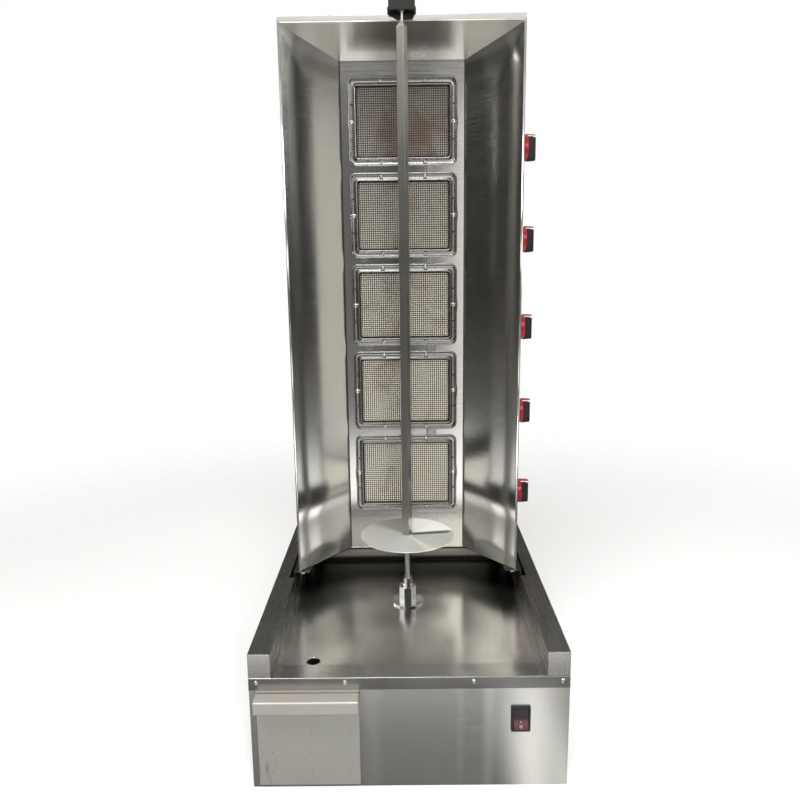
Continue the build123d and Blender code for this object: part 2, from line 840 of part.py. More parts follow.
def gas_valve(z):
    """Square valve body behind the side sheet, its injector pointing at the mixing tube."""
    x1 = side_inner
    x0 = x1 - valve_length
    body = block(x0, x1, valve_y - valve_half, valve_y + valve_half, z - valve_half, z + valve_half)
    plate = crosswise(valve_plate_radius, x1 - valve_plate_thick, x1, valve_y, z)
    boss = block(manifold_x() - valve_boss_half, manifold_x() + valve_boss_half,
                 valve_y, valve_y + valve_boss_reach, z - valve_boss_half, z + valve_boss_half)
    injector = crosswise(injector_radius, x0 - injector_length, x0, valve_y, z)
    bore = crosswise(stem_radius + running_fit, x1 - stem_in, x1 + cut_over, valve_y, z)
    return body + plate + boss + injector - bore


def gas_valves():
    return Compound([gas_valve(z) for z in valve_heights])


def valve_stem(z):
    return crosswise(stem_radius, side_inner - stem_in, tower_half + stem_out, valve_y, z)


def knob(z):
    """Round skirt with a tapered edge and an upright grip bar across its face."""
    x0 = knob_gap
    x1 = knob_gap + knob_skirt
    skirt = turned([(0, x0), (knob_radius, x0), (knob_radius, x0 + knob_edge),
                    (knob_face_radius, x1), (0, x1)])
    bar = SlotOverall(2 * (knob_face_radius - grip_end_in), grip_width)
    root = x1 - grip_root
    grip = extrude(Pos(0, 0, root) * bar, grip_reach - root, taper=grip_draft)
    hole = upright(stem_radius + running_fit, 0, 0, x0 - cut_over, stem_out)
    place = Plane((tower_half, valve_y, z), x_dir=(0, 0, 1), z_dir=(1, 0, 0))
    return place * (skirt + grip - hole)


def gas_manifold():
    """Upright pipe behind the valves with a branch to each one and an elbow to the inlet."""
    x = manifold_x()
    y = manifold_y()
    top = valve_heights[0] + manifold_over
    pipe = upright(manifold_radius, x, y, inlet_z() - manifold_radius, top)
    elbow = lengthwise(manifold_radius, x, y, tower_rear - sheet - inlet_seat, inlet_z())
    branches = [lengthwise(branch_radius, x, valve_y + valve_boss_reach, y, z)
                for z in valve_heights]
    inner = manifold_radius - manifold_wall
    hollow = upright(inner, x, y, inlet_z() - inner, top - manifold_wall)
    hollow += lengthwise(inner, x, y, tower_rear, inlet_z())
    return pipe + elbow + branches - hollow


def gas_inlet():
    """Union on the back: a tail through the cover, a nut against it and a threaded nipple."""
    y0 = tower_rear - sheet - inlet_seat
    y1 = tower_rear + inlet_nut_length
    y2 = y1 + inlet_length
    tail = lengthwise(inlet_tail_radius, manifold_x(), y0, tower_rear, inlet_z())
    nut = Plane((manifold_x(), tower_rear, inlet_z()), z_dir=(0, 1, 0)) * extrude(
        RegularPolygon(inlet_nut_radius, 6), inlet_nut_length)
    nipple = lengthwise(inlet_radius, manifold_x(), y1, y2, inlet_z())
    bore = lengthwise(inlet_bore, manifold_x(), y0 - cut_over, y2 + cut_over, inlet_z())
    return tail + nut + nipple - bore


# Top arm
def arm_saddle():
    """Guide on the lid: plate, two sides, a strap over the arm and a tapered tab in front."""
    side0 = arm_width / 2 + slide_gap
    side1 = side0 + saddle_side
    y0 = tower_front + saddle_start
    y1 = tower_front + saddle_length
    strap0 = tower_front + strap_from_front
    strap1 = strap0 + strap_length
    strap_bottom = arm_top + 2 * slide_gap
    strap_top = strap_bottom + strap_thick
    plate = block(-side1, side1, tower_front - saddle_plate, y1, tower_top,
                  tower_top + saddle_plate - slide_gap)
    guide = block(side0, side1, y0, y1, tower_top, arm_bottom + saddle_side_height)
    guide += block(side0, side1, strap0, strap1, tower_top, strap_top)
    strap = block(-side1, side1, strap0, strap1, strap_bottom, strap_top)
    half_top = arm_width / 2
    half_foot = tab_foot_width / 2
    tab = make_face(Polyline((-half_top, 0), (half_top, 0), (tab_foot_right + half_foot, -tab_drop),
                             (tab_foot_right - half_foot, -tab_drop), close=True))
    tab = facing(tab, 0, tower_front - saddle_plate, tower_top, saddle_plate)
    hole = upright(clamp_radius + hole_clear, 0, (strap0 + strap1) / 2,
                   strap_bottom - cut_over, strap_top + cut_over)
    return plate + guide + both_sides(guide) + strap + tab - hole


def arm_clamp():
    """Round-headed hand screw through the strap, its end just clear of the arm."""
    y = tower_front + strap_from_front + strap_length / 2
    strap_top = arm_top + 2 * slide_gap + strap_thick
    screw = upright(clamp_radius, 0, y, arm_top + slide_gap, strap_top + clamp_neck)
    head = upright(clamp_head_radius, 0, y, strap_top + clamp_neck,
                   strap_top + clamp_neck + clamp_head_height)
    collar = upright(clamp_radius + saddle_side, 0, y, strap_top, strap_top + clamp_neck)
    return screw + collar + head


def top_arm():
    """Rectangular tube, closed at the nose, bored through for the pin's bush."""
    middle = (arm_bottom + arm_top) / 2
    outside = RectangleRounded(arm_width, arm_height, arm_corner)
    inside = RectangleRounded(arm_width - 2 * arm_wall, arm_height - 2 * arm_wall,
                              arm_corner - arm_wall)
    tube = facing(outside, 0, arm_front, middle, arm_length)
    tube -= facing(inside, 0, arm_front + arm_wall, middle, arm_length)
    return tube - upright(arm_bush_radius, 0, skewer_y, arm_bottom - cut_over, arm_top + cut_over)


def arm_bush():
    z0 = arm_bottom - arm_bush_proud
    z1 = arm_top + arm_bush_proud
    bush = upright(arm_bush_radius - hole_clear, 0, skewer_y, z0, z1)
    return bush - upright(pin_radius + pin_play, 0, skewer_y, z0 - cut_over, z1 + cut_over)


nodes = {
    "base_front_panel": base_front_panel(),
    "base_wrap": base_wrap(),
    "base_floor": base_floor(),
    "drip_pan": drip_pan(),
    "rail_left": both_sides(right_rail()),
    "rail_right": right_rail(),
    "lip_screws": lip_screws(),
    "drain_spout": drain_spout(),
    "drawer_runners": drawer_runners(),
    "drawer_front": drawer_front(),
    "drawer_tray": drawer_tray(),
    "switch_housing": switch_housing(),
    "switch_rocker": switch_rocker(),
    "cable_gland": cable_gland(),
    "bearing_housing": bearing_housing(),
    "bearing_bush": bearing_bush(),
    "drive_shaft": drive_shaft(),
    "motor_bracket": motor_bracket(),
    "gearbox": gearbox(),
    "motor": motor(),
    "skewer": skewer(),
    "meat_plate": meat_plate(),
    "casing_left": both_sides(right_casing()),
    "casing_right": casing_with_stem_holes(),
    "tower_floor": tower_floor(),
    "rear_cover": rear_cover(),
    "tower_lid": tower_lid(),
    "top_reflector": top_reflector(),
    "burner_panel": burner_panel(),
    "tower_runners": tower_runners(),
    "runner_bolts": runner_bolts(),
    "ceramic_tiles": ceramic_tiles(),
    "mixing_bowls": mixing_bowls(),
    "gas_valves": gas_valves(),
    "gas_manifold": gas_manifold(),
    "gas_inlet": gas_inlet(),
    "arm_saddle": arm_saddle(),
    "arm_clamp": arm_clamp(),
    "top_arm": top_arm(),
    "arm_bush": arm_bush(),
}
for number, (burner_z, valve_z) in enumerate(zip(burner_heights, valve_heights), start=1):
    nodes[f"burner_frame_{number}"] = burner_frame(burner_z)
    nodes[f"burner_mesh_{number}"] = burner_mesh(burner_z)
    nodes[f"valve_stem_{number}"] = valve_stem(valve_z)
    nodes[f"knob_{number}"] = knob(valve_z)

os.makedirs("parts", exist_ok=True)
for name, shape in nodes.items():
    export_step(shape, f"parts/{name}.step")
print(len(nodes), "nodes written")
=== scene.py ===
# %% [markdown]
# A vertical gas rotisserie: a low steel base with a drip pan and a grease drawer, and on it a tower of
# five ceramic burners that roasts a turning skewer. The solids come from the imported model, which is the
# fixed frame of this lesson. Here they get their finishes, and the pieces that solids show too plainly
# (the stamped burner frames, the woven screens, the knobs, the small screws) are worked out as surfaces.

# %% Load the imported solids
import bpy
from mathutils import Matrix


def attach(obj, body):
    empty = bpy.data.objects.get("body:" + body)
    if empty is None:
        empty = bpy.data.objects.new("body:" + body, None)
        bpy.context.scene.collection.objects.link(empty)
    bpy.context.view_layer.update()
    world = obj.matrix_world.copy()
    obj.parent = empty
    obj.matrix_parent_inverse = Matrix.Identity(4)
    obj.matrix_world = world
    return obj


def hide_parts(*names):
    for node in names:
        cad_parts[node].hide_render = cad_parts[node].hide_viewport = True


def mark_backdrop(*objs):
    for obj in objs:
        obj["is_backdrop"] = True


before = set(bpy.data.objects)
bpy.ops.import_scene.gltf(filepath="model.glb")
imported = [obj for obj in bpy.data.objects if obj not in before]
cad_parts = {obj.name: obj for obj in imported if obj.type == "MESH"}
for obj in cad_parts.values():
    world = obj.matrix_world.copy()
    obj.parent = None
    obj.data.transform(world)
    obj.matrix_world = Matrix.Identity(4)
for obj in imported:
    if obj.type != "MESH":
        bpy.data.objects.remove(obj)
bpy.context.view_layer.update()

import math

import bmesh
import bpy
import numpy as np
from mathutils import Matrix

MM = 0.001
scene = bpy.context.scene

# %% [markdown]
# The camera comes first, because every later choice is judged through it. A lens is fully given by its
# place, where it points (pitch, yaw, roll) and its focal length. These numbers were fitted by least
# squares to corners of the machine, so they are written down and not nudged by eye.

# %% Camera
IMAGE_SIDE = 800
SENSOR = 36.0
EYE = np.array([-3.0, -1459.2, 912.8]) * MM
PITCH, YAW, ROLL = np.radians([11.229, -0.33, -0.7])
FOCAL_PIXELS = 746.7


def lens_axes(pitch, yaw, roll):
    """Columns are the lens's right, up and backward axes: the level view turned by yaw, tipped by pitch,
    and then rolled about its own line of sight."""
    ahead = np.array([math.sin(yaw) * math.cos(pitch), math.cos(yaw) * math.cos(pitch), -math.sin(pitch)])
    right = np.array([math.cos(yaw), -math.sin(yaw), 0.0])
    above = np.cross(right, ahead)
    rolled_right = math.cos(roll) * right + math.sin(roll) * above
    rolled_above = math.cos(roll) * above - math.sin(roll) * right
    return np.stack([rolled_right, rolled_above, -ahead], axis=1)


def posed(axes, place):
    """The pose of a thing at place, whose own axes are the three columns of axes."""
    pose = np.eye(4)
    pose[:3, :3], pose[:3, 3] = axes, place
    return Matrix(pose.tolist())


lens = bpy.data.cameras.new("kitchen_lens")
lens.sensor_fit = "HORIZONTAL"
lens.sensor_width = SENSOR
lens.lens = FOCAL_PIXELS / IMAGE_SIDE * SENSOR
lens.clip_start, lens.clip_end = 0.01, 60.0
camera = bpy.data.objects.new("kitchen_camera", lens)
camera.matrix_world = posed(lens_axes(PITCH, YAW, ROLL), EYE)
scene.collection.objects.link(camera)
scene.camera = camera
print("lens: %.1f mm at" % lens.lens, np.round(EYE, 3).tolist())

# %% [markdown]
# Room, floor and finishes are all networks of small nodes. A few helpers come first: one adds a node, and
# each of the others names a step that comes back often, such as a smooth step or a blend of two colours.
# Lengths inside a network are metres, because the coordinates there are metres.

# %% Helpers for node networks
def put(tree, kind, settings=None, **sockets):
    """Adds one shader node of a kind such as Math. A socket that is given another node's output is linked,
    and any other value is set on it. i0, i1 ... name a socket by number."""
    made = tree.nodes.new("ShaderNode" + kind)
    for key, value in (settings or {}).items():
        setattr(made, key, value)
    for key, value in sockets.items():
        numbered = key[0] == "i" and key[1:].isdigit()
        socket = made.inputs[int(key[1:])] if numbered else made.inputs[key.replace("_", " ")]
        if isinstance(value, bpy.types.NodeSocket):
            tree.links.new(value, socket)
        else:
            socket.default_value = value
    return made


def maths(tree, operation, a, *others):
    """One number worked out from a, or from a and the others in turn."""
    for b in others or (0.0,):
        a = put(tree, "Math", {"operation": operation}, i0=a, i1=b).outputs[0]
    return a


def times(tree, *numbers):
    """The product of two or more numbers."""
    return maths(tree, "MULTIPLY", *numbers)


def vectors(tree, operation, **sockets):
    """One vector worked out from others; LENGTH and DISTANCE give a number."""
    made = put(tree, "VectorMath", {"operation": operation}, **sockets)
    return made.outputs["Value" if operation in ("LENGTH", "DISTANCE") else "Vector"]


def ramp(tree, value, low, high, to_low=0.0, to_high=1.0):
    """A smooth step of value from low to high, carried to the range to_low..to_high."""
    return put(tree, "MapRange", {"interpolation_type": "SMOOTHSTEP"},
               i0=value, i1=low, i2=high, i3=to_low, i4=to_high).outputs[0]


def away_from(tree, value, middle):
    """How far value lies from middle, to either side."""
    return maths(tree, "ABSOLUTE", maths(tree, "SUBTRACT", value, middle))


def flat_length(tree, a, b):
    """Square root of a squared plus b squared."""
    return maths(tree, "SQRT", maths(tree, "ADD", maths(tree, "POWER", a, 2.0), maths(tree, "POWER", b, 2.0)))


def parts_of(tree, vector):
    """The three numbers of a vector."""
    return put(tree, "SeparateXYZ", Vector=vector).outputs[:]


def located(tree, kind="Object"):
    """A point's place in its piece's own coordinates, or its Normal: the vector, then its three numbers."""
    vector = put(tree, "TexCoord").outputs[kind]
    return vector, *parts_of(tree, vector)


def noise(tree, place, scale, detail, roughness=0.5, **more):
    """Smooth chance bumps round 0.5, about scale of them in a metre."""
    return put(tree, "TexNoise", Vector=place, Scale=scale, Detail=detail, Roughness=roughness,
               **more).outputs[0]


def blend(tree, share, first, second):
    """The colour that lies share of the way from first to second."""
    return put(tree, "Mix", {"data_type": "RGBA"}, i0=share, i6=first, i7=second).outputs[2]


def rounded_edge(tree, radius):
    """The normal of a piece whose edges are rounded by radius, in millimetres."""
    return put(tree, "Bevel", {"samples": 4}, Radius=radius * MM).outputs[0]


def vector_of(tree, parts):
    """The vector that has these three numbers."""
    return put(tree, "CombineXYZ", X=parts[0], Y=parts[1], Z=parts[2]).outputs[0]


def blank_finish(name):
    """A new finish and its empty network."""
    finish = bpy.data.materials.new(name)
    finish.use_nodes = True
    finish.node_tree.nodes.clear()
    return finish, finish.node_tree


def skin(tree, **sockets):
    """Ends a finish's network with the shader that everything else feeds."""
    shader = put(tree, "BsdfPrincipled", **sockets)
    put(tree, "OutputMaterial", Surface=shader.outputs[0])


print("helpers for node networks are ready")

# %% [markdown]
# Steel sheet has hardly any colour of its own: it shows the room. So the room is designed with care. For
# the camera the room is plain white. For reflections it is dim, with a few tall soft panels, as in a
# kitchen with a window beside a dark corner. Each panel is a smooth step in azimuth times a smooth step in
# elevation, so no hard edge shows in the metal.

# %% Room and lights
scene.view_settings.view_transform = "Standard"
scene.view_settings.look = "None"
# azimuth from straight ahead of the machine (plus is the knobs' side), elevation, half sizes and softness in
# degrees; last comes the light
ROOM_PANELS = {
    "window": (8.8, -2.0, 5.4, 13.0, 2.0, 1.25),
    "left_doorway": (-3.8, 2.0, 2.0, 12.0, 1.5, 0.15),
    "ceiling_front": (0.0, 20.2, 42.0, 4.9, 2.0, 1.8),
    "ceiling_right": (80.0, 22.0, 24.0, 4.0, 3.0, 2.1),
    "ceiling_left": (-80.0, 22.0, 24.0, 4.0, 3.0, 1.9),
    "lamp_right": (4.4, 31.0, 2.5, 5.0, 3.0, 2.2),
    "lamp_left": (-6.5, 31.0, 1.6, 5.0, 3.0, 0.3),
    "rear_right": (128.0, 8.0, 18.0, 34.0, 16.0, 0.8),
    "rear_left": (-132.0, 8.0, 18.0, 34.0, 16.0, 0.7),
    "rear_ceiling": (180.0, 52.0, 20.0, 10.0, 10.0, 0.5),
}
# place, aim and side in metres, power in watts, whether steel mirrors the lamp
LAMPS = {
    "ceiling_lamp": ((-0.4, -1.4, 3.1), (0.0, 0.0, 0.5), 1.4, 60.0, True),
    "side_lamp": ((2.3, -1.0, 1.6), (0.0, 0.0, 0.6), 0.9, 12.0, True),
    "rear_lamp": ((0.4, 1.6, 3.4), (0.0, 0.2, 0.7), 1.2, 16.0, True),
    "burner_lamp": ((0.25, -2.4, 1.2), (0.0, 0.1, 0.55), 1.0, 45.0, False),
}
# from and to which elevation the light changes, and from and to which light
CEILING = (math.radians(25), math.radians(75), 0.05, 0.85)
GROUND = (math.radians(-14), math.radians(-4), 0.18, 0.0)
ROOM_LIGHT = (1.0, 0.985, 0.945, 1.0)
WHITE = (1.0, 1.0, 1.0, 1.0)


def panel_step(tree, off, half, soft):
    """1 within half of a panel's middle line and 0 beyond, with an edge soft wide; both in degrees."""
    return ramp(tree, off, math.radians(half - soft / 2), math.radians(half + soft / 2), 1.0, 0.0)


def room_world():
    """White for the camera; for all other rays a dim room whose light is the sum of soft panels, a brighter
    ceiling and a faint ground."""
    world = bpy.data.worlds.new("kitchen_room")
    world.use_nodes = True
    tree = world.node_tree
    tree.nodes.clear()
    _, x, y, z = located(tree, "Generated")
    azimuth = maths(tree, "ARCTAN2", x, times(tree, y, -1.0))
    elevation = maths(tree, "ARCSINE", z)
    light = maths(tree, "ADD", ramp(tree, elevation, *CEILING), ramp(tree, elevation, *GROUND))
    for az, el, half_az, half_el, soft, strength in ROOM_PANELS.values():
        turn_to = maths(tree, "SUBTRACT", azimuth, math.radians(az))
        turn_to = put(tree, "Math", {"operation": "WRAP"}, i0=turn_to, i1=math.pi, i2=-math.pi)
        across = panel_step(tree, maths(tree, "ABSOLUTE", turn_to.outputs[0]), half_az, soft)
        upward = panel_step(tree, away_from(tree, elevation, math.radians(el)), half_el, soft)
        light = maths(tree, "ADD", light, times(tree, across, upward, strength))
    dim = put(tree, "Background", Color=ROOM_LIGHT, Strength=light)
    white = put(tree, "Background", Color=WHITE, Strength=1.0)
    seen = put(tree, "LightPath").outputs["Is Camera Ray"]
    both = put(tree, "MixShader", i0=seen, i1=dim.outputs[0], i2=white.outputs[0])
    put(tree, "OutputWorld", Surface=both.outputs[0])
    return world


def soft_light(name, place, aim, side, power, mirrored):
    """A square lamp of the given side that looks from place to aim. A lamp that isn't mirrored lights paint
    and clay, but steel doesn't show it."""
    lamp = bpy.data.lights.new(name, "AREA")
    lamp.size, lamp.energy = side, power
    holder = bpy.data.objects.new(name, lamp)
    ahead = np.array(aim, float) - np.array(place, float)
    ahead /= np.linalg.norm(ahead)
    right = np.cross(ahead, [0.0, 0.0, 1.0])
    right /= np.linalg.norm(right)
    holder.matrix_world = posed(np.stack([right, np.cross(right, ahead), -ahead], axis=1), place)
    holder.visible_glossy = mirrored
    scene.collection.objects.link(holder)


scene.world = room_world()
for name, lamp in LAMPS.items():
    soft_light(name, *lamp)
print("room panels:", len(ROOM_PANELS), "lamps:", len(LAMPS))

# %% [markdown]
# All new shapes are grids of points. A grid knows its neighbours, so its faces follow from its size
# alone: row i, column j joins to i + 1 and j + 1. A closed direction joins its last row to its first.
# Doubled points at poles and seams are merged afterwards, and the faces are turned outwards.

# %% Grids of points become meshes
def grid_faces(rows, columns, rows_close=False, columns_close=False, first=0):
    """Four corners for each cell of a rows x columns grid, numbered from first, as one whole array."""
    i = np.arange(rows if rows_close else rows - 1)
    j = np.arange(columns if columns_close else columns - 1)
    i, j = (a.ravel() for a in np.meshgrid(i, j, indexing="ij"))
    down, along = (i + 1) % rows, (j + 1) % columns
    corners = [i * columns + j, i * columns + along, down * columns + along, down * columns + j]
    return first + np.stack(corners, 1)


def tube_faces(copies, rows, columns):
    """Faces of several tubes of the same size, numbered one after another; each ring of a tube is a row."""
    tubes = [grid_faces(rows, columns, False, True, n * rows * columns) for n in range(copies)]
    return np.concatenate(tubes)


def made_piece(name, points, faces, finish, body, smooth=True, weld=True, choose=None):
    """Puts an array of points and an array of four-cornered faces, both in millimetres and machine
    coordinates, into a mesh that rides on a body. With a list of finishes, choose gives the number of each
    face's finish from the array of face middles."""
    mesh = bpy.data.meshes.new(name)
    mesh.from_pydata((np.reshape(points, (-1, 3)) * MM).tolist(), [], np.reshape(faces, (-1, 4)).tolist())
    if weld:
        shell = bmesh.new()
        shell.from_mesh(mesh)
        bmesh.ops.remove_doubles(shell, verts=shell.verts, dist=1e-6)
        bmesh.ops.dissolve_degenerate(shell, dist=1e-7, edges=shell.edges)
        bmesh.ops.recalc_face_normals(shell, faces=shell.faces)
        shell.to_mesh(mesh)
        shell.free()
    mesh.polygons.foreach_set("use_smooth", np.full(len(mesh.polygons), smooth))
    for each in finish if isinstance(finish, list) else [finish]:
        mesh.materials.append(each)
    if choose:
        middles = np.empty(3 * len(mesh.polygons))
        mesh.polygons.foreach_get("center", middles)
        mesh.polygons.foreach_set("material_index", choose(middles.reshape(-1, 3) / MM).astype(np.int32))
    piece = bpy.data.objects.new(name, mesh)
    scene.collection.objects.link(piece)
    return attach(piece, body)


print("a grid of 3 x 4 points has", len(grid_faces(3, 4)), "faces, and as a tube", len(tube_faces(1, 3, 4)))

# %% [markdown]
# The floor is a pale disc that fades out at its edge, so that the room behind stays white from every
# side. The steel sees a darker floor than the camera does, with a patch of light on the right and pale mats
# further out, or else the whole front would be washed out. It belongs to the stage, not to the machine.

# %% Floor
FLOOR_RADII = np.array([0.0, 600.0, 1200.0, 1800.0, 2600.0])
FLOOR_Z = -0.6
SEEN_TONE, DARK_TONE, BRIGHT_TONE = 0.88, 0.12, 0.85


def floor_finish():
    """Pale for the camera. Other rays see a dark floor with bright places: a lit patch, and mats before,
    beside and behind the machine. It turns clear towards the edge."""
    finish, tree = blank_finish("pale_floor")
    place, x, y, _ = located(tree)
    cover = ramp(tree, vectors(tree, "LENGTH", i0=place), 1.0, 2.4, 1.0, 0.0)
    patch = ramp(tree, away_from(tree, x, 0.245), 0.02, 0.10, 1.0, 0.0)
    lit = times(tree, patch, ramp(tree, y, -0.63, -0.57), 0.62)
    aside = maths(tree, "ABSOLUTE", x)
    narrow = ramp(tree, aside, 0.42, 0.55, 1.0, 0.0)
    before = times(tree, narrow, ramp(tree, y, -0.82, -0.74, 1.0, 0.0))
    beside = times(tree, ramp(tree, aside, 0.78, 0.90), ramp(tree, y, -0.42, -0.32))
    behind = ramp(tree, y, 0.40, 0.60, 0.0, 0.6)
    bright = maths(tree, "MAXIMUM", lit, before, beside, behind)
    dim = maths(tree, "ADD", times(tree, bright, BRIGHT_TONE), DARK_TONE)
    seen = put(tree, "LightPath").outputs["Is Camera Ray"]
    tone = put(tree, "Mix", {"data_type": "FLOAT"}, i0=seen, i2=dim, i3=SEEN_TONE).outputs[0]
    skin(tree, Base_Color=tone, Roughness=0.75, Alpha=cover)
    return finish


def fading_floor():
    """Polar grid: rings of growing radius."""
    radius = FLOOR_RADII[:, None]
    angle = np.linspace(0, 2 * np.pi, 64, endpoint=False)[None, :]
    points = np.stack(np.broadcast_arrays(radius * np.cos(angle), radius * np.sin(angle), FLOOR_Z), -1)
    mesh = bpy.data.meshes.new("floor")
    faces = grid_faces(radius.size, angle.size, columns_close=True)
    mesh.from_pydata((points.reshape(-1, 3) * MM).tolist(), [], faces[:, ::-1].tolist())
    mesh.materials.append(floor_finish())
    floor = bpy.data.objects.new("floor", mesh)
    scene.collection.objects.link(floor)
    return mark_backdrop(floor)


fading_floor()
print("floor laid, radius in mm:", FLOOR_RADII[-1])

# %% [markdown]
# Most of the machine is folded stainless sheet. A rolled sheet carries fine grooves, so a highlight smears
# across them. The finish has three parts: stretched noise for the grooves, broad clouds for wiped-on
# grease and handling, and a rounded-edge normal, because a folded edge always catches a line of light. The
# wide wings of the casing spring open a little after folding, so their finish leans the normal forward.

# %% Sheet steel
WORN_SHARE = 0.72
GROOVE_DEPTH = 0.00004


def steel_finish(name, tint, gloss, grain=(9.0, 9.0, 800.0), smear=(0.0, 0.0, 1.0), stretch=0.55,
                 cloud=0.06, scuff=0.06, edge=1.1, depth=0.05, lean=0.0, painted_light_and_shade=None):
    """Metal whose roughness is gloss, plus grooves, plus clouds; grain is how often the grooves repeat in a
    metre along each axis, and smear the way in which highlights spread. lean tips the normal of slanting
    upright sheets (x times y of the normal isn't 0) towards the front, and up where they bow near the pan.
    The last argument, if given, returns the share of brightness left at a place and a normal: it paints light
    and shade into the colour."""
    finish, tree = blank_finish(name)
    place, _, _, z = located(tree)
    along = put(tree, "Mapping", Vector=place, Scale=grain).outputs[0]
    groove = noise(tree, along, 1.0, 5.0, 0.65)
    clouds = noise(tree, place, 7.0, 6.0, 0.6)
    rough = maths(tree, "ADD", ramp(tree, groove, 0.3, 0.7, gloss - 0.03, gloss + 0.03),
                  ramp(tree, clouds, 0.35, 0.7, -cloud / 2, cloud / 2))
    shade = maths(tree, "ADD", ramp(tree, groove, 0.3, 0.7, -scuff / 2, scuff / 2),
                  ramp(tree, clouds, 0.35, 0.75, scuff / 2, -scuff / 2), 0.12)
    colour = blend(tree, shade, tint, tuple(c * WORN_SHARE for c in tint[:3]) + (1.0,))
    if painted_light_and_shade:
        colour = vectors(tree, "SCALE", i0=colour, Scale=painted_light_and_shade(tree))
    normal = rounded_edge(tree, edge)
    if lean:
        across, ahead, _ = parts_of(tree, normal)
        slant = maths(tree, "ABSOLUTE", times(tree, across, ahead))
        bow = times(tree, slant, ramp(tree, z, 0.35, 0.45, 1.3, 0.0))
        tip = vector_of(tree, (0.0, times(tree, slant, -lean), bow))
        normal = vectors(tree, "NORMALIZE", i0=vectors(tree, "ADD", i0=normal, i1=tip))
    lines = put(tree, "Bump", Height=groove, Normal=normal, Strength=depth, Distance=GROOVE_DEPTH)
    skin(tree, Base_Color=colour, Metallic=1.0, Roughness=rough, Normal=lines.outputs[0],
         Anisotropic=stretch, Tangent=vector_of(tree, smear))
    return finish


def ledge_painted_shade(tree):
    """Painted shade on a frame's level runs: less brightness is left, the more a face leans up or down (z of
    its normal), but lips that look straight up or down are painted bright. The lower frames are painted
    darker than the upper ones."""
    height = located(tree)[3]
    level = maths(tree, "ABSOLUTE", located(tree, "Normal")[3])
    run = ramp(tree, level, 0.1, 0.5, 1.0, 0.28)
    run = maths(tree, "MAXIMUM", run, ramp(tree, level, 0.72, 0.95, 0.0, 1.1))
    return times(tree, run, ramp(tree, height, 0.45, 1.15, 0.70, 1.12))


# painted reflection bands on the base's front: middle and half width in metres, swell
FRONT_BAND_REFLECTIONS = ((-0.063, 0.022, 0.16), (0.087, 0.012, 0.14), (0.135, 0.016, 0.34), (0.205, 0.050, 0.30))


def painted_reflection_bands(tree):
    """Painted reflections: upright bands on the base's front, where the brightness swells at each band's x.
    """
    x = located(tree)[1]
    return maths(tree, "ADD", 1.0, *(ramp(tree, away_from(tree, x, middle), 0.0, half, swell, 0.0)
                                     for middle, half, swell in FRONT_BAND_REFLECTIONS))


def foot_darkening_and_plate_reflection(tree):
    """The burner panel is darker below the lowest burner, more on the left, and darkest in a flat ellipse
    behind the plate: a painted reflection of the plate's dark underside."""
    _, x, _, z = located(tree)
    across = maths(tree, "DIVIDE", maths(tree, "SUBTRACT", x, 0.053), 0.057)
    upward = maths(tree, "DIVIDE", maths(tree, "SUBTRACT", z, 0.289), 0.020)
    ellipse = ramp(tree, flat_length(tree, across, upward), 0.6, 1.0, 0.2, 1.0)
    foot = times(tree, ramp(tree, x, -0.08, 0.11, 0.62, 1.0), ellipse)
    return maths(tree, "MAXIMUM", foot, ramp(tree, z, 0.325, 0.375))


def bar_painted_light(tree):
    """Painted light: the skewer's colour grows brighter with height, from 0.85 of its tint low down to 1.55
    at its top end.
    """
    return ramp(tree, located(tree)[3], 0.45, 1.25, 0.85, 1.55)


STEEL = (0.62, 0.61, 0.58, 1.0)
NO_GRAIN = (60.0, 60.0, 60.0)
panel_steel = steel_finish("panel_sheet", STEEL, 0.14, stretch=0.4, cloud=0.02, scuff=0.02, depth=0.002,
                           painted_light_and_shade=foot_darkening_and_plate_reflection)
tower_steel = steel_finish("tower_sheet", STEEL, 0.12, stretch=0.4, cloud=0.03, scuff=0.03, depth=0.004)
wing_steel = steel_finish("wing_sheet", (0.60, 0.595, 0.565, 1.0), 0.14, stretch=0.6, cloud=0.03, scuff=0.03,
                          depth=0.004, lean=0.42)
base_steel = steel_finish("base_sheet", STEEL, 0.24, stretch=0.9, cloud=0.02, scuff=0.03, depth=0.007,
                          painted_light_and_shade=painted_reflection_bands)
rail_steel = steel_finish("rail_sheet", STEEL, 0.26, (700.0, 9.0, 700.0), (1.0, 0.0, 0.4), 0.4, 0.03, 0.02,
                          depth=0.006)
bar_steel = steel_finish("skewer_bar", (0.48, 0.47, 0.43, 1.0), 0.34, (700.0, 700.0, 9.0), (1.0, 0.2, 0.0),
                         0.4, painted_light_and_shade=bar_painted_light)
bright_steel = steel_finish("bright_fitting", (0.74, 0.73, 0.71, 1.0), 0.14, NO_GRAIN, stretch=0.0)
frame_steel = steel_finish("frame_stamping", (0.50, 0.49, 0.475, 1.0), 0.22, NO_GRAIN, stretch=0.0,
                           cloud=0.02, scuff=0.02, edge=0.3, depth=0.002, painted_light_and_shade=ledge_painted_shade)
print("sheet steels made: 8")

# %% [markdown]
# Some steel isn't plain rolled sheet. The spindle's fittings are plated and the meat plate was turned on a
# lathe; on both, reflections are painted into the colour. The pan and the reflector are buckled by heat; the
# pan has a painted shadow under the tower, and the reflector is darker in its middle. The drawer is dull and
# spot welded. Each of these gets a pattern of its own.

# %% Plated, turned and darkened steel
SKEWER_Y = -5.5
PAINTED_FAN_LIGHT = 0.38
SHEET_EDGE = 1.1


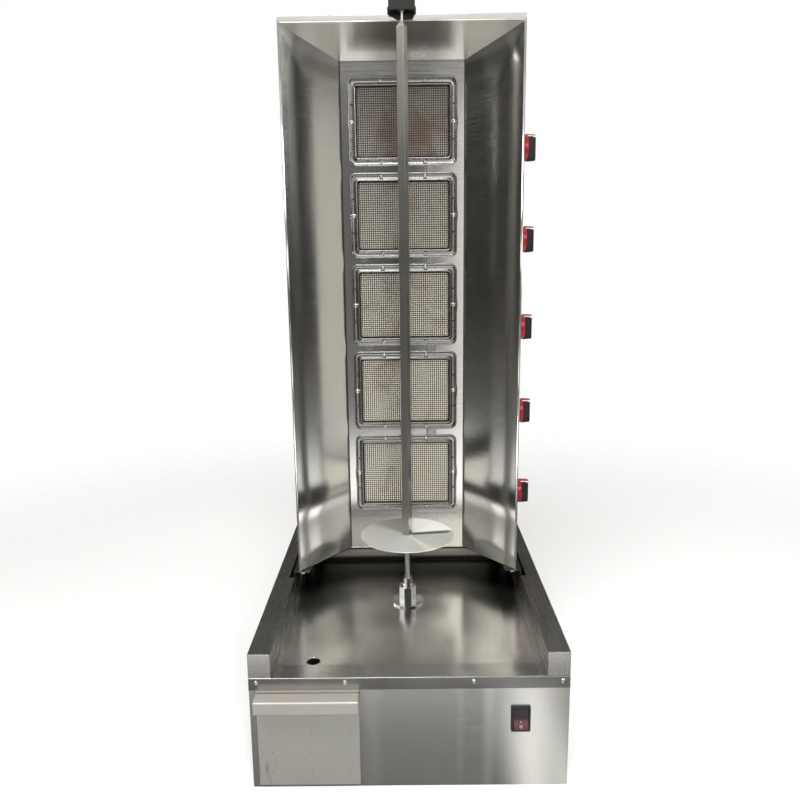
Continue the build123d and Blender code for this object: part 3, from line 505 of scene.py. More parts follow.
def chrome_finish():
    """Plated fitting: a mirror with a painted reflection in its colour, whose tone alternates with the way a
    facet faces about the upright axis (a cosine of three times that angle), as in a room of dark and light
    walls; faces that look up or down are painted bright. The painted tones turn with the piece."""
    finish, tree = blank_finish("plated_fitting")
    _, x, y, z = located(tree, "Normal")
    about = times(tree, maths(tree, "ARCTAN2", x, y), 3.0)
    wave = maths(tree, "COSINE", maths(tree, "ADD", about, 0.9))
    level = ramp(tree, maths(tree, "ABSOLUTE", z), 0.6, 0.9, 0.0, 0.8)
    tone = maths(tree, "MAXIMUM", ramp(tree, wave, -0.5, 0.4, 0.06, 0.95), level)
    skin(tree, Base_Color=tone, Metallic=1.0, Roughness=0.12, Normal=rounded_edge(tree, 0.6))
    return finish


def plate_finish():
    """Satin steel turned on a lathe: the grooves are rings round the skewer, so a highlight spreads along the
    radius, which is the place less the centre, laid flat. Painted reflections: two fans of angles about the
    skewer are painted brighter, the steel is less metallic where the wider one lies, and one fan is painted
    duller. The slot's cut walls are painted dark, as the shade in the slot."""
    finish, tree = blank_finish("turned_plate")
    from_centre = vectors(tree, "SUBTRACT", i0=located(tree)[0], i1=(0.0, SKEWER_Y * MM, 0.0))
    flat = vectors(tree, "MULTIPLY", i0=from_centre, i1=(1.0, 1.0, 0.0))
    radius = vectors(tree, "LENGTH", i0=flat)
    rings = put(tree, "TexNoise", {"noise_dimensions": "1D"}, W=radius, Scale=700.0, Detail=4.0)
    x, y, _ = parts_of(tree, flat)
    angle = maths(tree, "ARCTAN2", y, x)
    fan = times(tree, ramp(tree, angle, 0.02, 0.10), ramp(tree, angle, 1.3, 1.7, PAINTED_FAN_LIGHT, 0.0))
    streak = ramp(tree, away_from(tree, angle, -1.08), 0.02, 0.20, 0.26, 0.0)
    dull = ramp(tree, away_from(tree, angle, 1.95), 0.25, 0.75, 0.50, 0.96)
    level = ramp(tree, maths(tree, "ABSOLUTE", located(tree, "Normal")[3]), 0.3, 0.7)
    painted_slot_shade = maths(tree, "MAXIMUM", level, ramp(tree, radius, 0.090, 0.094), 0.2)
    painted_reflection = times(tree, maths(tree, "ADD", fan, streak, dull), painted_slot_shade)
    skin(tree, Base_Color=vectors(tree, "SCALE", i0=(0.72, 0.725, 0.69), Scale=painted_reflection),
         Metallic=ramp(tree, fan, 0.0, PAINTED_FAN_LIGHT, 0.55, 0.26), Anisotropic=0.8,
         Roughness=ramp(tree, rings.outputs[0], 0.3, 0.7, 0.28, 0.38),
         Tangent=vectors(tree, "NORMALIZE", i0=flat))
    return finish


def darkened_sheet_finish(name, tint, gloss, smear, darkening, buckle):
    """Sheet darkened in places: the fifth argument gets the tree and the three coordinates and returns how
    much of the brightness is left at a place; on the pan it paints the shadow under the tower. Broad noise
    lifts the sheet by up to buckle, as thin sheet buckles when it is heated."""
    finish, tree = blank_finish(name)
    place, x, y, z = located(tree)
    clouds = noise(tree, place, 8.0, 5.0, 0.55)
    waves = noise(tree, place, 6.0, 1.0, 0.4)
    left = times(tree, darkening(tree, x, y, z), ramp(tree, clouds, 0.3, 0.7, 0.92, 1.0))
    bent = put(tree, "Bump", Height=waves, Normal=rounded_edge(tree, SHEET_EDGE), Strength=0.5,
               Distance=buckle * MM)
    skin(tree, Base_Color=vectors(tree, "SCALE", i0=tint, Scale=left), Metallic=1.0, Normal=bent.outputs[0],
         Roughness=ramp(tree, clouds, 0.3, 0.7, gloss - 0.03, gloss + 0.03), Anisotropic=0.4,
         Tangent=vector_of(tree, smear))
    return finish


def reflector_middle_darkening(tree, x, y, z):
    """Darker in the middle, above the top burner; both sides keep their brightness."""
    return ramp(tree, away_from(tree, x, 0.012), 0.045, 0.10, 0.5, 1.0)


def pan_shadow_and_front_tone(tree, x, y, z):
    """Painted shadow: dark under the tower; the edge of the dark runs forward at both sides, as the wings do.
    The front lip is duller than the floor of the pan, and the floor is duller near it."""
    side = maths(tree, "MAXIMUM", maths(tree, "SUBTRACT", maths(tree, "ABSOLUTE", x), 0.11), 0.0)
    behind = maths(tree, "ADD", y, times(tree, side, 0.5))
    rim = ramp(tree, z, 0.200, 0.207, 0.0, 0.6)
    shaded = maths(tree, "MAXIMUM", ramp(tree, behind, 0.05, 0.135, 1.0, 0.06), rim)
    front = ramp(tree, y, -0.29, -0.20, 0.68, 1.0)
    lip = ramp(tree, y, -0.3128, -0.3105, 0.62, 1.0)
    return times(tree, shaded, front, lip)


def drawer_finish():
    """Dull sheet with slow green and pink clouds, rows of small weld dots, and streaks of dried fat that run
    down near the left edge."""
    finish, tree = blank_finish("drawer_sheet")
    place, x, _, z = located(tree)
    clouds = noise(tree, place, 11.0, 3.0)
    sheet = blend(tree, ramp(tree, clouds, 0.35, 0.65), (0.47, 0.465, 0.42, 1), (0.49, 0.455, 0.415, 1))
    cells = []
    for along, first, pitch in ((x, -0.270, 0.067), (z, 0.012, 0.037)):
        share = maths(tree, "FRACT", maths(tree, "DIVIDE", maths(tree, "SUBTRACT", along, first), pitch))
        cells.append(times(tree, maths(tree, "SUBTRACT", share, 0.5), pitch))
    dots = ramp(tree, flat_length(tree, *cells), 0.0009, 0.0022, 0.45, 0.0)
    welds = times(tree, dots, ramp(tree, z, 0.128, 0.132, 1.0, 0.0))
    streaky = put(tree, "Mapping", Vector=place, Scale=(160.0, 160.0, 26.0)).outputs[0]
    streaks = ramp(tree, noise(tree, streaky, 1.0, 4.0), 0.45, 0.7, 0.0, 0.5)
    left_edge = ramp(tree, x, -0.258, -0.222, 1.0, 0.0)
    low_down = ramp(tree, z, 0.03, 0.085, 1.0, 0.0)
    dirt = maths(tree, "MAXIMUM", welds, times(tree, left_edge, low_down, streaks))
    skin(tree, Base_Color=blend(tree, dirt, sheet, (0.10, 0.10, 0.08, 1)), Metallic=0.5,
         Normal=rounded_edge(tree, SHEET_EDGE), Roughness=ramp(tree, clouds, 0.3, 0.7, 0.40, 0.52))
    return finish


chrome = chrome_finish()
plate_steel = plate_finish()
reflector_steel = darkened_sheet_finish("reflector_sheet", (0.97, 0.95, 0.90), 0.30, (0.0, 1.0, -0.3),
                                reflector_middle_darkening, 0.2)
pan_steel = darkened_sheet_finish("pan_sheet", (0.84, 0.83, 0.785), 0.22, (0.0, 1.0, 0.05), pan_shadow_and_front_tone, 1.2)
drawer_steel = drawer_finish()
print("marked steels made: 5")

# %% [markdown]
# Paint, plastic, brass and ceramic are not metals with a grain. Each gets a fine bump at its own scale
# (orange peel on paint, a faint pebble on plastic, pores on ceramic) and a slow change of tone.

# %% Paint, plastic, brass and ceramic
COATED_EDGE = 0.8
PEEL_DEPTH = 0.0002
HOLE_PITCH = 2.6
BURNT_PATCH = (0.01, 0.14, 1.130)


def coated_finish(name, tint, deep, rough, bump_scale, bump, metal=0.0, coat=0.0):
    """A coating whose colour drifts between tint and deep with slow noise, with a fine bump."""
    finish, tree = blank_finish(name)
    place = located(tree)[0]
    drift = noise(tree, place, 38.0, 5.0, 0.6)
    pebble = noise(tree, place, bump_scale, 2.0)
    peel = put(tree, "Bump", Height=pebble, Normal=rounded_edge(tree, COATED_EDGE), Strength=bump,
               Distance=PEEL_DEPTH)
    skin(tree, Base_Color=blend(tree, ramp(tree, drift, 0.35, 0.7), tint + (1,), deep + (1,)), Metallic=metal,
         Roughness=ramp(tree, drift, 0.3, 0.7, rough - 0.05, rough + 0.06), Coat_Weight=coat,
         Normal=peel.outputs[0])
    return finish


def ceramic_finish():
    """Cream fired clay, pierced by rows of fine holes (the product of two cosine waves, in x and z), whose
    dark insides are painted shade. Noise browns it in patches, most of all low in the top burner, and painted
    shade darkens it with height, for the upper burners in the shade of the lid and reflector."""
    finish, tree = blank_finish("burner_ceramic")
    place, x, _, z = located(tree)
    often = 2 * math.pi / (HOLE_PITCH * MM)
    waves = [maths(tree, "COSINE", times(tree, along, often)) for along in (x, z)]
    hole = ramp(tree, times(tree, *waves), 0.45, 0.85, 0.0, 0.5)
    burnt = noise(tree, place, 17.0, 6.0, 0.62, Distortion=0.6)
    patch = ramp(tree, vectors(tree, "DISTANCE", i0=place, i1=BURNT_PATCH), 0.02, 0.10, 0.22, 0.0)
    brown = ramp(tree, maths(tree, "ADD", burnt, patch), 0.50, 0.78)
    clay = blend(tree, brown, (0.95, 0.90, 0.76, 1), (0.62, 0.44, 0.34, 1))
    hole_and_height_shade = maths(tree, "MAXIMUM", hole, ramp(tree, z, 0.35, 1.35, 0.0, 0.72))
    solid = maths(tree, "SUBTRACT", 1.0, hole)
    relief = put(tree, "Bump", Height=solid, Strength=0.5, Distance=0.0006)
    skin(tree, Base_Color=blend(tree, hole_and_height_shade, clay, (0.06, 0.045, 0.035, 1)), Normal=relief.outputs[0],
         Roughness=ramp(tree, burnt, 0.3, 0.7, 0.8, 0.95))
    return finish


# two colours, roughness, bumps in a metre, bump; then metal and clear coat where they aren't 0
COATINGS = {
    "arm_paint": ((0.003, 0.003, 0.0035), (0.006, 0.006, 0.0055), 0.36, 900.0, 0.25),
    "motor_paint": ((0.10, 0.11, 0.12), (0.07, 0.075, 0.08), 0.5, 700.0, 0.3),
    "black_plastic": ((0.010, 0.010, 0.011), (0.018, 0.018, 0.018), 0.4, 1600.0, 0.2),
    "knob_red": ((0.36, 0.008, 0.018), (0.27, 0.006, 0.012), 0.3, 1400.0, 0.12),
    "switch_red": ((0.065, 0.006, 0.010), (0.045, 0.004, 0.007), 0.18, 900.0, 0.06, 0.0, 0.4),
    "valve_brass": ((0.72, 0.47, 0.18), (0.55, 0.34, 0.12), 0.28, 700.0, 0.12, 1.0),
    "bowl_steel": ((0.42, 0.41, 0.39), (0.30, 0.28, 0.25), 0.42, 500.0, 0.2, 1.0),
    # painted shade: the tower's runners get near-black steel, for the shade they sit in below the wings
    "shaded_runner_steel": ((0.10, 0.10, 0.095), (0.07, 0.068, 0.06), 0.45, 600.0, 0.1, 1.0),
    "screen_wire": ((0.025, 0.023, 0.021), (0.045, 0.042, 0.038), 0.5, 900.0, 0.05, 0.25),
    "mark_white": ((0.82, 0.81, 0.78), (0.72, 0.71, 0.68), 0.5, 900.0, 0.1),
}
(black_paint, grey_paint, black_plastic, knob_red, lamp_red, brass, pressed_steel, shaded_runner_steel, wire_steel,
 white_mark) = (coated_finish(name, *coating) for name, coating in COATINGS.items())
ceramic = ceramic_finish()
print("coatings made:", len(COATINGS), "and ceramic")

# %% [markdown]
# Every solid is given its finish by name. Knobs, rocker, frames and screens get one too, and are replaced
# by finer surfaces below.

# %% Finishes for the solids
def five(name):
    """The names of a piece that each of the five burners has."""
    return [f"{name}_{n}" for n in range(1, 6)]


FINISH_OF = {
    wing_steel: ["casing_left", "casing_right"],
    tower_steel: ["tower_floor", "rear_cover", "tower_lid"],
    panel_steel: ["burner_panel"],
    reflector_steel: ["top_reflector"],
    base_steel: ["base_front_panel", "base_wrap", "base_floor"],
    pan_steel: ["drip_pan"],
    rail_steel: ["rail_left", "rail_right", "drawer_runners", "motor_bracket"],
    shaded_runner_steel: ["tower_runners"],
    drawer_steel: ["drawer_front", "drawer_tray"],
    bar_steel: ["skewer"],
    bright_steel: ["lip_screws", "runner_bolts", "drain_spout", "arm_clamp"],
    chrome: ["bearing_housing", "drive_shaft"],
    plate_steel: ["meat_plate"],
    pressed_steel: ["mixing_bowls", "gas_manifold"] + five("valve_stem"),
    brass: ["gas_valves", "gas_inlet", "bearing_bush", "arm_bush"],
    ceramic: ["ceramic_tiles"],
    black_paint: ["top_arm", "arm_saddle"],
    grey_paint: ["motor", "gearbox"],
    black_plastic: ["switch_housing", "switch_rocker", "cable_gland"],
    knob_red: five("knob"),
    frame_steel: five("burner_frame"),
    wire_steel: five("burner_mesh"),
}
for finish, names in FINISH_OF.items():
    for name in names:
        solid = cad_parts[name].data
        solid.materials.clear()
        solid.materials.append(finish)
print("solids finished:", sum(len(names) for names in FINISH_OF.values()), "of", len(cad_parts))

# %% [markdown]
# Each burner is framed by a thin stamping: a rolled rim outside, a channel for the screws, and a rounded
# bead round the window. Folding it from flat strips would lose the soft bead, so one cross-section is
# carried round a rounded rectangle: as the section moves in from the outline, the rectangle shrinks and its
# corners tighten.

# %% Stamped burner frames
BURNER_Z = [1171.5, 986.5, 801.5, 616.5, 431.5]
PANEL_Y = 138.5
HALF_FRAME = np.array([111.0, 86.0])
LEVEL_RUNS = 20 / 19  # how much broader the frame is above and below the window than beside it
SECTION_IN = np.array([0, 0, .35, .9, 1.6, 2.3, 3.0, 3.7, 4.4, 7.5, 10.2, 10.9, 11.7, 12.4, 13.1, 13.9, 14.7,
                       15.5, 16.6, 18.0, 18.8, 19])
SECTION_UP = np.array([0, 2.4, 3.3, 3.85, 4.0, 3.85, 3.2, 2.2, 1.6, 1.5, 1.5, 1.9, 3.4, 5.2, 6.5, 7.0, 6.9,
                       6.2, 4.6, 2.4, 1.2, 0.2])
CORNER_IN, CORNER_RADIUS = [0, 4, 11, 14, 19], [14, 10.4, 7, 6, 2]
BULGE, BULGE_REACH, BULGE_BAND = 1.8, 11.0, 8.0
BULGE_FADE = [4.4, 7.5]


def rounded_rectangle(half_wide, half_high, corner, arc_steps=7, side_steps=6):
    """Points round rectangles with round corners. For each corner an arc about its centre, then a straight
    run to the next; half_wide, half_high and corner are columns, one row for each rectangle."""
    sign_x, sign_z = np.array([1, -1, -1, 1]), np.array([1, 1, -1, -1])
    angle = np.linspace(0, np.pi / 2, arc_steps)[None, :] + np.arange(4)[:, None] * np.pi / 2
    x = sign_x[:, None] * (half_wide - corner)[:, None, None] + corner[:, None, None] * np.cos(angle)
    z = sign_z[:, None] * (half_high - corner)[:, None, None] + corner[:, None, None] * np.sin(angle)
    share = np.linspace(0, 1, side_steps + 1)[1:-1]
    run_x = x[:, :, -1:] + share * (np.roll(x, -1, 1)[:, :, :1] - x[:, :, -1:])
    run_z = z[:, :, -1:] + share * (np.roll(z, -1, 1)[:, :, :1] - z[:, :, -1:])
    rows = len(half_wide)
    return (np.concatenate([x, run_x], 2).reshape(rows, -1), np.concatenate([z, run_z], 2).reshape(rows, -1))


def stamped_frame(middle):
    """Closed section carried round the window: inset moves each ring in, height lifts it off the panel. The
    rim bulges outwards beside the two side screws, by a bell curve of the height."""
    corner = np.interp(SECTION_IN, CORNER_IN, CORNER_RADIUS)
    half_wide, half_high = HALF_FRAME[0] - SECTION_IN, HALF_FRAME[1] - SECTION_IN * LEVEL_RUNS
    x, z = rounded_rectangle(half_wide, half_high, corner, side_steps=24)
    bell = BULGE * np.exp(-(z / BULGE_REACH) ** 2) * np.interp(SECTION_IN, BULGE_FADE, [1, 0])[:, None]
    x = x + np.sign(x) * bell * (np.abs(x) > HALF_FRAME[0] - BULGE_BAND)
    return np.stack([x, np.broadcast_to(PANEL_Y - SECTION_UP[:, None], x.shape), z + middle], -1)


for number, middle in enumerate(BURNER_Z, 1):
    rings = stamped_frame(middle)
    faces = grid_faces(rings.shape[0], rings.shape[1], True, True)
    stamping = made_piece(f"stamped_frame_{number}", rings, faces, frame_steel, "tower")
    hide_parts(f"burner_frame_{number}")
print("stamped frames:", len(BURNER_Z), "faces each:", len(faces))

# %% [markdown]
# A woven screen keeps fat off the hot ceramic. Its wires run over and under each other, which a flat
# pierced plate can't show. Each wire is a four-sided tube that steps from one side of the screen to the
# other at every crossing; neighbouring wires do it in turn.

# %% Woven screens
WIRE_PITCH = 4.5
WIRE_THICK = 1.6
WEAVE_HALF = 0.4
WEAVE_Y = PANEL_Y + 0.05
UPRIGHT_AT = np.arange(-20, 21) * WIRE_PITCH
LEVEL_AT = np.arange(-14, 15) * WIRE_PITCH
SCREEN_HALF = (91.8, 65.8)


def wires(place, run, half, along_x, middle):
    """Tubes for one set of wires, from -half to half. place: where each wire lies; run: where it meets the
    other set; the height at crossing (i, j) is plus or minus WEAVE_HALF as i + j is even or odd. A square
    closes each end."""
    travel = np.concatenate([[-half], run, [half]])
    turn_at = np.arange(travel.size)[None, :] + np.arange(place.size)[:, None]
    lift = np.where(turn_at % 2 == 0, WEAVE_HALF, -WEAVE_HALF) * (-1 if along_x else 1)
    ring = np.arange(4) * np.pi / 2
    side = (WIRE_THICK / 2 * np.cos(ring))[None, None, :]
    rise = (WIRE_THICK / 2 * np.sin(ring))[None, None, :]
    a = place[:, None, None] + side
    b = travel[None, :, None]
    y = WEAVE_Y + lift[:, :, None] + rise
    a, b, y = np.broadcast_arrays(a, b, y)
    points = np.stack([b, y, a + middle] if along_x else [a, y, b + middle], -1)
    first = np.arange(place.size)[:, None] * travel.size * 4
    near_ends, far_ends = first + np.arange(4)[::-1], first + (travel.size - 1) * 4 + np.arange(4)
    faces = np.concatenate([tube_faces(place.size, travel.size, 4), near_ends, far_ends])
    return points.reshape(-1, 3), faces[:, ::-1] if along_x else faces


for number, middle in enumerate(BURNER_Z, 1):
    upright, upright_faces = wires(UPRIGHT_AT, LEVEL_AT, SCREEN_HALF[1], False, middle)
    level, level_faces = wires(LEVEL_AT, UPRIGHT_AT, SCREEN_HALF[0], True, middle)
    points = np.concatenate([upright, level])
    faces = np.concatenate([upright_faces, level_faces + len(upright)])
    screen = made_piece(f"woven_screen_{number}", points, faces, wire_steel, "tower", weld=False)
    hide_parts(f"burner_mesh_{number}")
print("screens:", len(BURNER_Z), "wires each:", UPRIGHT_AT.size + LEVEL_AT.size, "faces each:", len(faces))

# %% [markdown]
# Six round-head screws hold each frame, and each frame has four small pilot holes beside them. A screw head
# is a dome: a polar grid whose height falls with the radius, with a cross pressed in where a point is near
# one of two crossing bars. There are many heads, so the grid of one is small.

# %% Screws and pilot holes
HEAD_RINGS = np.array([0.0, 0.22, 0.42, 0.6, 0.8, 0.95, 1.0, 1.0, 0.0])
CROSS_TURN = 0.4
CROSS_WIDE, CROSS_LONG = 0.17, 0.6
UNDERSIDE = -0.1
FRAME_SCREWS = np.array([(-45, 78.2), (45, 78.2), (-45, -78.2), (45, -78.2), (-103.6, 0), (103.6, 0)])
PILOT_HOLES = np.array([(-103.6, 34), (103.6, 34), (-103.6, -34), (103.6, -34)])
REAR_SCREWS = [(x, 253.5, z) for x in (-218.0, 218.0) for z in (290.0, 620.0, 950.0, 1295.0)]
FORWARD, BACKWARD = (0, -1, 0), (0, 1, 0)


def screw_heads(centres, out, radius, height, recess=0.5):
    """Domes at centres that stand along out. Height at radius r is height * sqrt(1 - 0.9 r^2) less the cross,
    whose bars are a sixth of the head wide and stop at 0.6 of its radius. The last two rings close the
    underside."""
    r = HEAD_RINGS[:, None]
    angle = np.linspace(0, 2 * np.pi, 16, endpoint=False)[None, :] + CROSS_TURN
    level = np.sqrt(1 - 0.9 * r ** 2) * np.ones_like(angle)
    level[-2:] = UNDERSIDE
    a, b = np.abs(r * np.cos(angle - CROSS_TURN)), np.abs(r * np.sin(angle - CROSS_TURN))
    cross = (np.minimum(a, b) < CROSS_WIDE) & (np.maximum(a, b) < CROSS_LONG)
    level[:-2] -= recess * cross[:-2]
    out = np.array(out, float)
    side = np.cross(out, [0.3, 0.1, 0.9])
    side /= np.linalg.norm(side)
    third = np.cross(out, side)
    head = (radius * r * np.cos(angle))[..., None] * side + (radius * r * np.sin(angle))[..., None] * third
    head = head + (height * level)[..., None] * out
    points = np.array(centres, float)[:, None, None, :] + head[None]
    return points.reshape(-1, 3), tube_faces(len(points), r.size, angle.size)


def on_panel(spots, up, middle):
    """Places (x, z) about a burner's middle, at height up off the panel."""
    return np.stack([spots[:, 0], np.full(len(spots), PANEL_Y - up), spots[:, 1] + middle], 1)


for number, middle in enumerate(BURNER_Z, 1):
    points, faces = screw_heads(on_panel(FRAME_SCREWS, 1.5, middle), FORWARD, radius=3.9, height=2.8)
    made_piece(f"frame_screws_{number}", points, faces, bright_steel, "tower")
    # painted shade: each pilot hole is a flat black disc, standing in for the shade inside the hole
    holes = on_panel(PILOT_HOLES, 1.6, middle)
    points, faces = screw_heads(holes, FORWARD, radius=2.0, height=0.12, recess=0.0)
    made_piece(f"pilot_holes_{number}", points, faces, black_plastic, "tower")
points, faces = screw_heads(REAR_SCREWS, BACKWARD, radius=4.0, height=2.4)
made_piece("rear_cover_screws", points, faces, bright_steel, "tower")
print("frame screws:", len(FRAME_SCREWS) * len(BURNER_Z), "rear screws:", len(REAR_SCREWS))

# %% [markdown]
# In the gaps between the frames sit the small parts that let one burner light the next: on the right a
# folded bridge, on the left a round ear below the frame. Both are bent from thin sheet, so both are one
# outline drawn out along a line.

# %% Lighting bridges and ears
BRIDGE_X = np.array([44.0, 46.4, 46.8, 47.6, 62.4, 63.2, 63.6, 66.5])
BRIDGE_OUT = np.array([0.9, 0.9, 3.3, 3.9, 3.9, 3.3, 0.9, 0.9])
BRIDGE_IN = np.array([0.05, 0.05, 2.4, 2.9, 2.9, 2.4, 0.05, 0.05])
BRIDGE_HALF = 6.4
EAR_X, EAR_WIDE, EAR_HIGH, EAR_LIFT = (-85.5, -76.0), 9.5, 9.0, 6.5
EAR_OUT, EAR_IN = (0, PANEL_Y - 1.6, 0), (0, PANEL_Y - 0.1, 0)
BETWEEN_Z = (np.array(BURNER_Z[:-1]) + np.array(BURNER_Z[1:])) / 2
DRAWN_RINGS = 4


def drawn_out(outline, starts, ends):
    """A closed outline of points, carried in a straight line: the first and last rings are drawn together
    to the outline's middle, which closes the two ends."""
    outline, starts, ends = (np.asarray(each, float) for each in (outline, starts, ends))
    steps = np.array([0.0, 0.0, 1.0, 1.0])[:, None, None]
    shrink = np.array([0.0, 1.0, 1.0, 0.0])[:, None, None]
    middle = outline.mean(0)
    return middle + shrink * (outline - middle) + starts + steps * (ends - starts)


front, back = (np.stack([BRIDGE_X, PANEL_Y - up, 0 * BRIDGE_X], 1) for up in (BRIDGE_OUT, BRIDGE_IN))
outline = np.concatenate([front, back[::-1]])
bridges = [drawn_out(outline, (0, 0, z - BRIDGE_HALF), (0, 0, z + BRIDGE_HALF)) for z in BETWEEN_Z]
faces = tube_faces(len(bridges), DRAWN_RINGS, len(outline))
piece = made_piece("lighting_bridges", np.array(bridges), faces, frame_steel, "tower", smooth=False)

lower_half = np.linspace(np.pi, 2 * np.pi, 13)
ears = []
for x, z in zip(EAR_X, BETWEEN_Z[1:3]):
    across, upward = x + EAR_WIDE * np.cos(lower_half), z + EAR_LIFT + EAR_HIGH * np.sin(lower_half)
    rim = np.stack([across, 0 * lower_half, upward], 1)
    ears.append(drawn_out(rim, EAR_OUT, EAR_IN))
faces = tube_faces(len(ears), DRAWN_RINGS, lower_half.size)
piece = made_piece("frame_ears", np.array(ears), faces, bright_steel, "tower", smooth=False)
print("bridges:", len(bridges), "ears:", len(ears))

# %% [markdown]
# The casing's front edges are folded back on themselves, or they would cut hands. The fold shows as a thin
# half-round hem, and it draws a bright line up both sides of the tower; the hem is also given the brighter
# steel of the fittings, so part of that line is a painted highlight.

# %% Folded hems
HEM_X, HEM_Y, HEM_WIDE, HEM_DEEP = 225.7, 8.5, 2.2, 1.3
HEM_FROM, HEM_TO = (0, 0, 256.6), (0, 0, 1325.8)
half_turn = np.linspace(0, np.pi, 11)
hems = []
for side in (-1, 1):
    across, deep = side * (HEM_X + HEM_WIDE * np.cos(half_turn)), HEM_Y - HEM_DEEP * np.sin(half_turn)
    hems.append(drawn_out(np.stack([across, deep, 0 * half_turn], 1), HEM_FROM, HEM_TO))
faces = tube_faces(len(hems), DRAWN_RINGS, half_turn.size)
made_piece("casing_hems", np.array(hems), faces, bright_steel, "tower")
print("hems:", len(hems))

# %% [markdown]
# The wings stop just short of the burner panel, so that the panel can grow when it is hot. The shade in the
# gap is painted as a black line in both inner corners: two narrow closed black strips just in front of the
# panel.

# %% Corner gaps
GAP_X = np.array([124.8, 126.9, 126.9, 124.8])
GAP_Y = PANEL_Y - np.array([0.3, 0.3, 0.05, 0.05])
GAP_FROM, GAP_TO = (0, 0, 257.5), (0, 0, 1288.0)
strips = [drawn_out(np.stack([side * GAP_X, GAP_Y, 0 * GAP_X], 1), GAP_FROM, GAP_TO) for side in (-1, 1)]
faces = tube_faces(len(strips), DRAWN_RINGS, GAP_X.size)
made_piece("corner_gap_shade", np.array(strips), faces, black_plastic, "tower", smooth=False)
print("corner gaps:", len(strips))

# %% [markdown]
# A gas knob is moulded plastic: a red skirt, which is a turned profile, and a black grip bar that tapers
# outwards. The grip's upper end is red with a white line, so that it can be seen from afar where it points.

# %% Gas knobs
KNOB_Z = [1120.5, 935.5, 750.5, 565.5, 380.5]
KNOB_Y = 158.5
SKIRT_X = np.array([230.0, 230.0, 230.5, 231.5, 244.0, 245.4, 255.2, 256.1, 256.5, 256.5])
SKIRT_R = np.array([0.0, 28.2, 28.85, 29.0, 29.0, 28.6, 25.5, 24.9, 24.0, 0.0])
GRIP_X = np.array([255.0, 255.0, 258.5, 262.0, 265.5, 269.0, 272.2, 273.4, 274.0, 274.0])
GRIP_ROUNDING = np.array([0, 0, 0, 0, 0, 0, 0.1, 0.5, 1.4, 0])
GRIP_ROOT = 255.5
GRIP_WIDE, GRIP_HIGH, GRIP_CLOSED, GRIP_CORNER = 7.5, 27.6, 18.5, 0.999
GRIP_TAPER = math.tan(math.radians(4.0))
WHITE_FROM, RED_FROM = 21.8, 23.8


def knob_skirt(z):
    """A profile turned about the valve stem, which points to +X."""
    angle = np.linspace(0, 2 * np.pi, 48, endpoint=False)[None, :]
    y, up = SKIRT_R[:, None] * np.cos(angle), SKIRT_R[:, None] * np.sin(angle)
    return np.stack([np.broadcast_to(SKIRT_X[:, None], y.shape), KNOB_Y + y, z + up], -1)


def knob_grip(z):
    """A rounded bar that shrinks as it comes out; the last rings round its edge, and the first and the very
    last one are drawn to the bar's middle line."""
    shrink = GRIP_TAPER * (GRIP_X - GRIP_ROOT) + GRIP_ROUNDING
    wide, high = GRIP_WIDE - shrink, GRIP_HIGH - shrink
    y, up = rounded_rectangle(wide, high, wide * GRIP_CORNER)
    y[[0, -1]], up[[0, -1]] = 0.0, np.clip(up[[1, -2]], -GRIP_CLOSED, GRIP_CLOSED)
    return np.stack([np.broadcast_to(GRIP_X[:, None], y.shape), KNOB_Y + y, z + up], -1)


for number, z in enumerate(KNOB_Z, 1):
    skirt = knob_skirt(z)
    faces = tube_faces(1, *skirt.shape[:2])
    piece = made_piece(f"knob_skirt_{number}", skirt, faces, knob_red, f"knob_{number}")
    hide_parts(f"knob_{number}")
    grip = knob_grip(z)

    def pointer(middle, z=z):
        """0 black, 1 white, 2 red, by how near a face lies to the grip's upper end."""
        near = middle[:, 2] - z + GRIP_TAPER * (middle[:, 0] - GRIP_ROOT)
        return np.where(near > RED_FROM, 2, np.where(near > WHITE_FROM, 1, 0))

    piece = made_piece(f"knob_grip_{number}", grip, tube_faces(1, *grip.shape[:2]),
                       [black_plastic, white_mark, knob_red], f"knob_{number}", choose=pointer)
print("knobs:", len(KNOB_Z))

# %% [markdown]
# The mains switch is a rocker: one moulding with a hollow face, tipped about its middle. Its upper half is
# black with grip ribs, its lower half a clear dark red with the usual bar and ring. The side outline has the
# hollow (a parabola) and the ribs (squared waves), and is drawn out across the switch.

# %% Switch rocker
PIVOT = np.array([190.0, -310.5, 128.5])
TILT = math.radians(-8.0)
ROCKER_HALF, ROCKER_END = 12.5, 19.4
ROCKER_BACK, ROCKER_FOOT = -6.0, 11.0
FACE_FORWARD, FACE_HOLLOW = 4.6, 1.9
RIB_FROM, RIB_TO, RIB_PITCH, RIB_HIGH = 4.0, 17.0, 3.25, 0.45
RED_BELOW = 0.6
BAR_FROM, BAR_TO, BAR_HALF = -8.6, -4.0, 0.45
RING_MIDDLE, RING_RADIUS, RING_HALF = -14.0, 1.9, 0.35


def rocker_face(up):
    """How far the face stands forward of the pivot: hollow in the middle, ribbed in the upper half."""
    hollow = FACE_FORWARD + FACE_HOLLOW * (up / ROCKER_END) ** 2
    wave = RIB_HIGH * np.cos(2 * np.pi * (up - RIB_FROM) / RIB_PITCH + np.pi) ** 2
    return hollow - RIB_HIGH + np.where((up > RIB_FROM) & (up < RIB_TO), wave, 0.0)


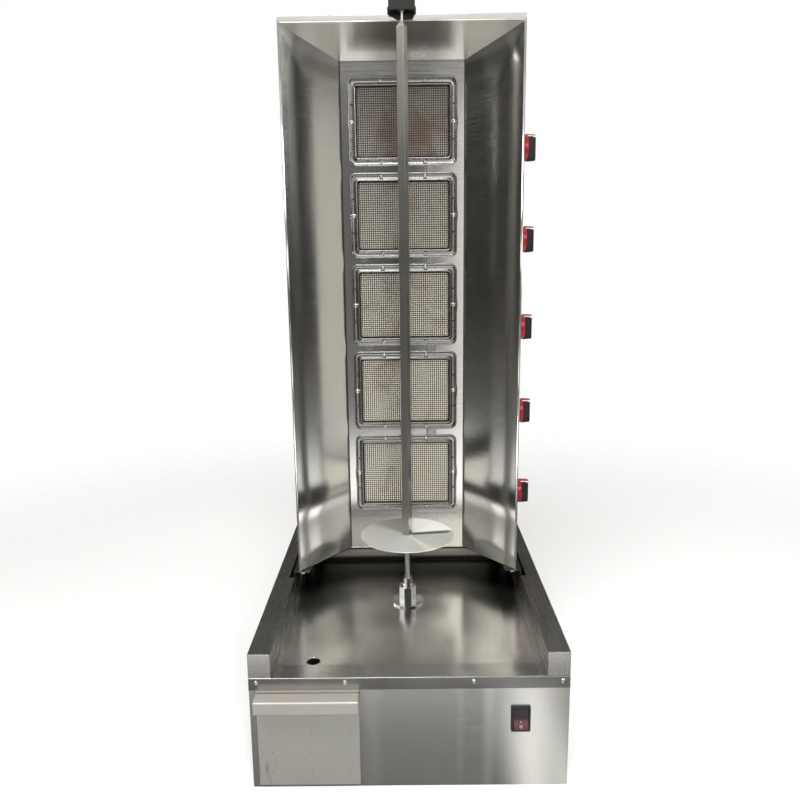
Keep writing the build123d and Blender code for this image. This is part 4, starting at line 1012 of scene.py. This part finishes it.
def tipped(across, forward, up):
    """Switch coordinates (across, forward of the pivot, up) turned by the rocker's tilt and put in place."""
    y, z = -np.asarray(forward, float), np.asarray(up, float)
    turned_y = y * math.cos(TILT) - z * math.sin(TILT)
    turned_z = y * math.sin(TILT) + z * math.cos(TILT)
    return PIVOT + np.stack(np.broadcast_arrays(np.asarray(across, float), turned_y, turned_z), -1)


up = np.linspace(-ROCKER_END, ROCKER_END, 61)
side_forward = np.concatenate([rocker_face(up), [ROCKER_BACK, ROCKER_BACK]])
side_up = np.concatenate([up, [ROCKER_FOOT, -ROCKER_FOOT]])
across = np.array([-1.0, -1.0, -0.95, 0.95, 1.0, 1.0])[:, None] * ROCKER_HALF
shrink = np.array([0.0, 0.97, 1.0, 1.0, 0.97, 0.0])[:, None]
rocker = tipped(across, shrink * side_forward, shrink * side_up)
piece = made_piece("rocker_face", rocker, tube_faces(1, *rocker.shape[:2]), [black_plastic, lamp_red],
                   "rocker", smooth=False, choose=lambda middle: (middle[:, 2] < PIVOT[2] + RED_BELOW))
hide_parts("switch_rocker")

band = np.array([-1.0, 1.0, 1.0, -1.0])[:, None]
stand = np.array([0.12, 0.12, -0.1, -0.1])[:, None]
bar_up = np.linspace(BAR_FROM, BAR_TO, 5)[None, :]
end = np.array([0.0, 1.0, 1.0, 1.0, 0.0])[None, :]
bar = tipped(end * band * BAR_HALF, rocker_face(bar_up) + end * stand, bar_up)
angle = np.linspace(0, 2 * np.pi, 24, endpoint=False)[None, :]
ring_r = RING_RADIUS + band * RING_HALF
ring_up = RING_MIDDLE + ring_r * np.sin(angle)
ring = tipped(ring_r * np.cos(angle), rocker_face(ring_up) + stand, ring_up)
bar_faces = grid_faces(*bar.shape[:2], True)
ring_faces = grid_faces(*ring.shape[:2], True, True, first=bar.size // 3)
points = np.concatenate([bar.reshape(-1, 3), ring.reshape(-1, 3)])
made_piece("rocker_marks", points, np.concatenate([bar_faces, ring_faces]), white_mark, "rocker")
print("rocker face points:", rocker.shape[0] * rocker.shape[1])
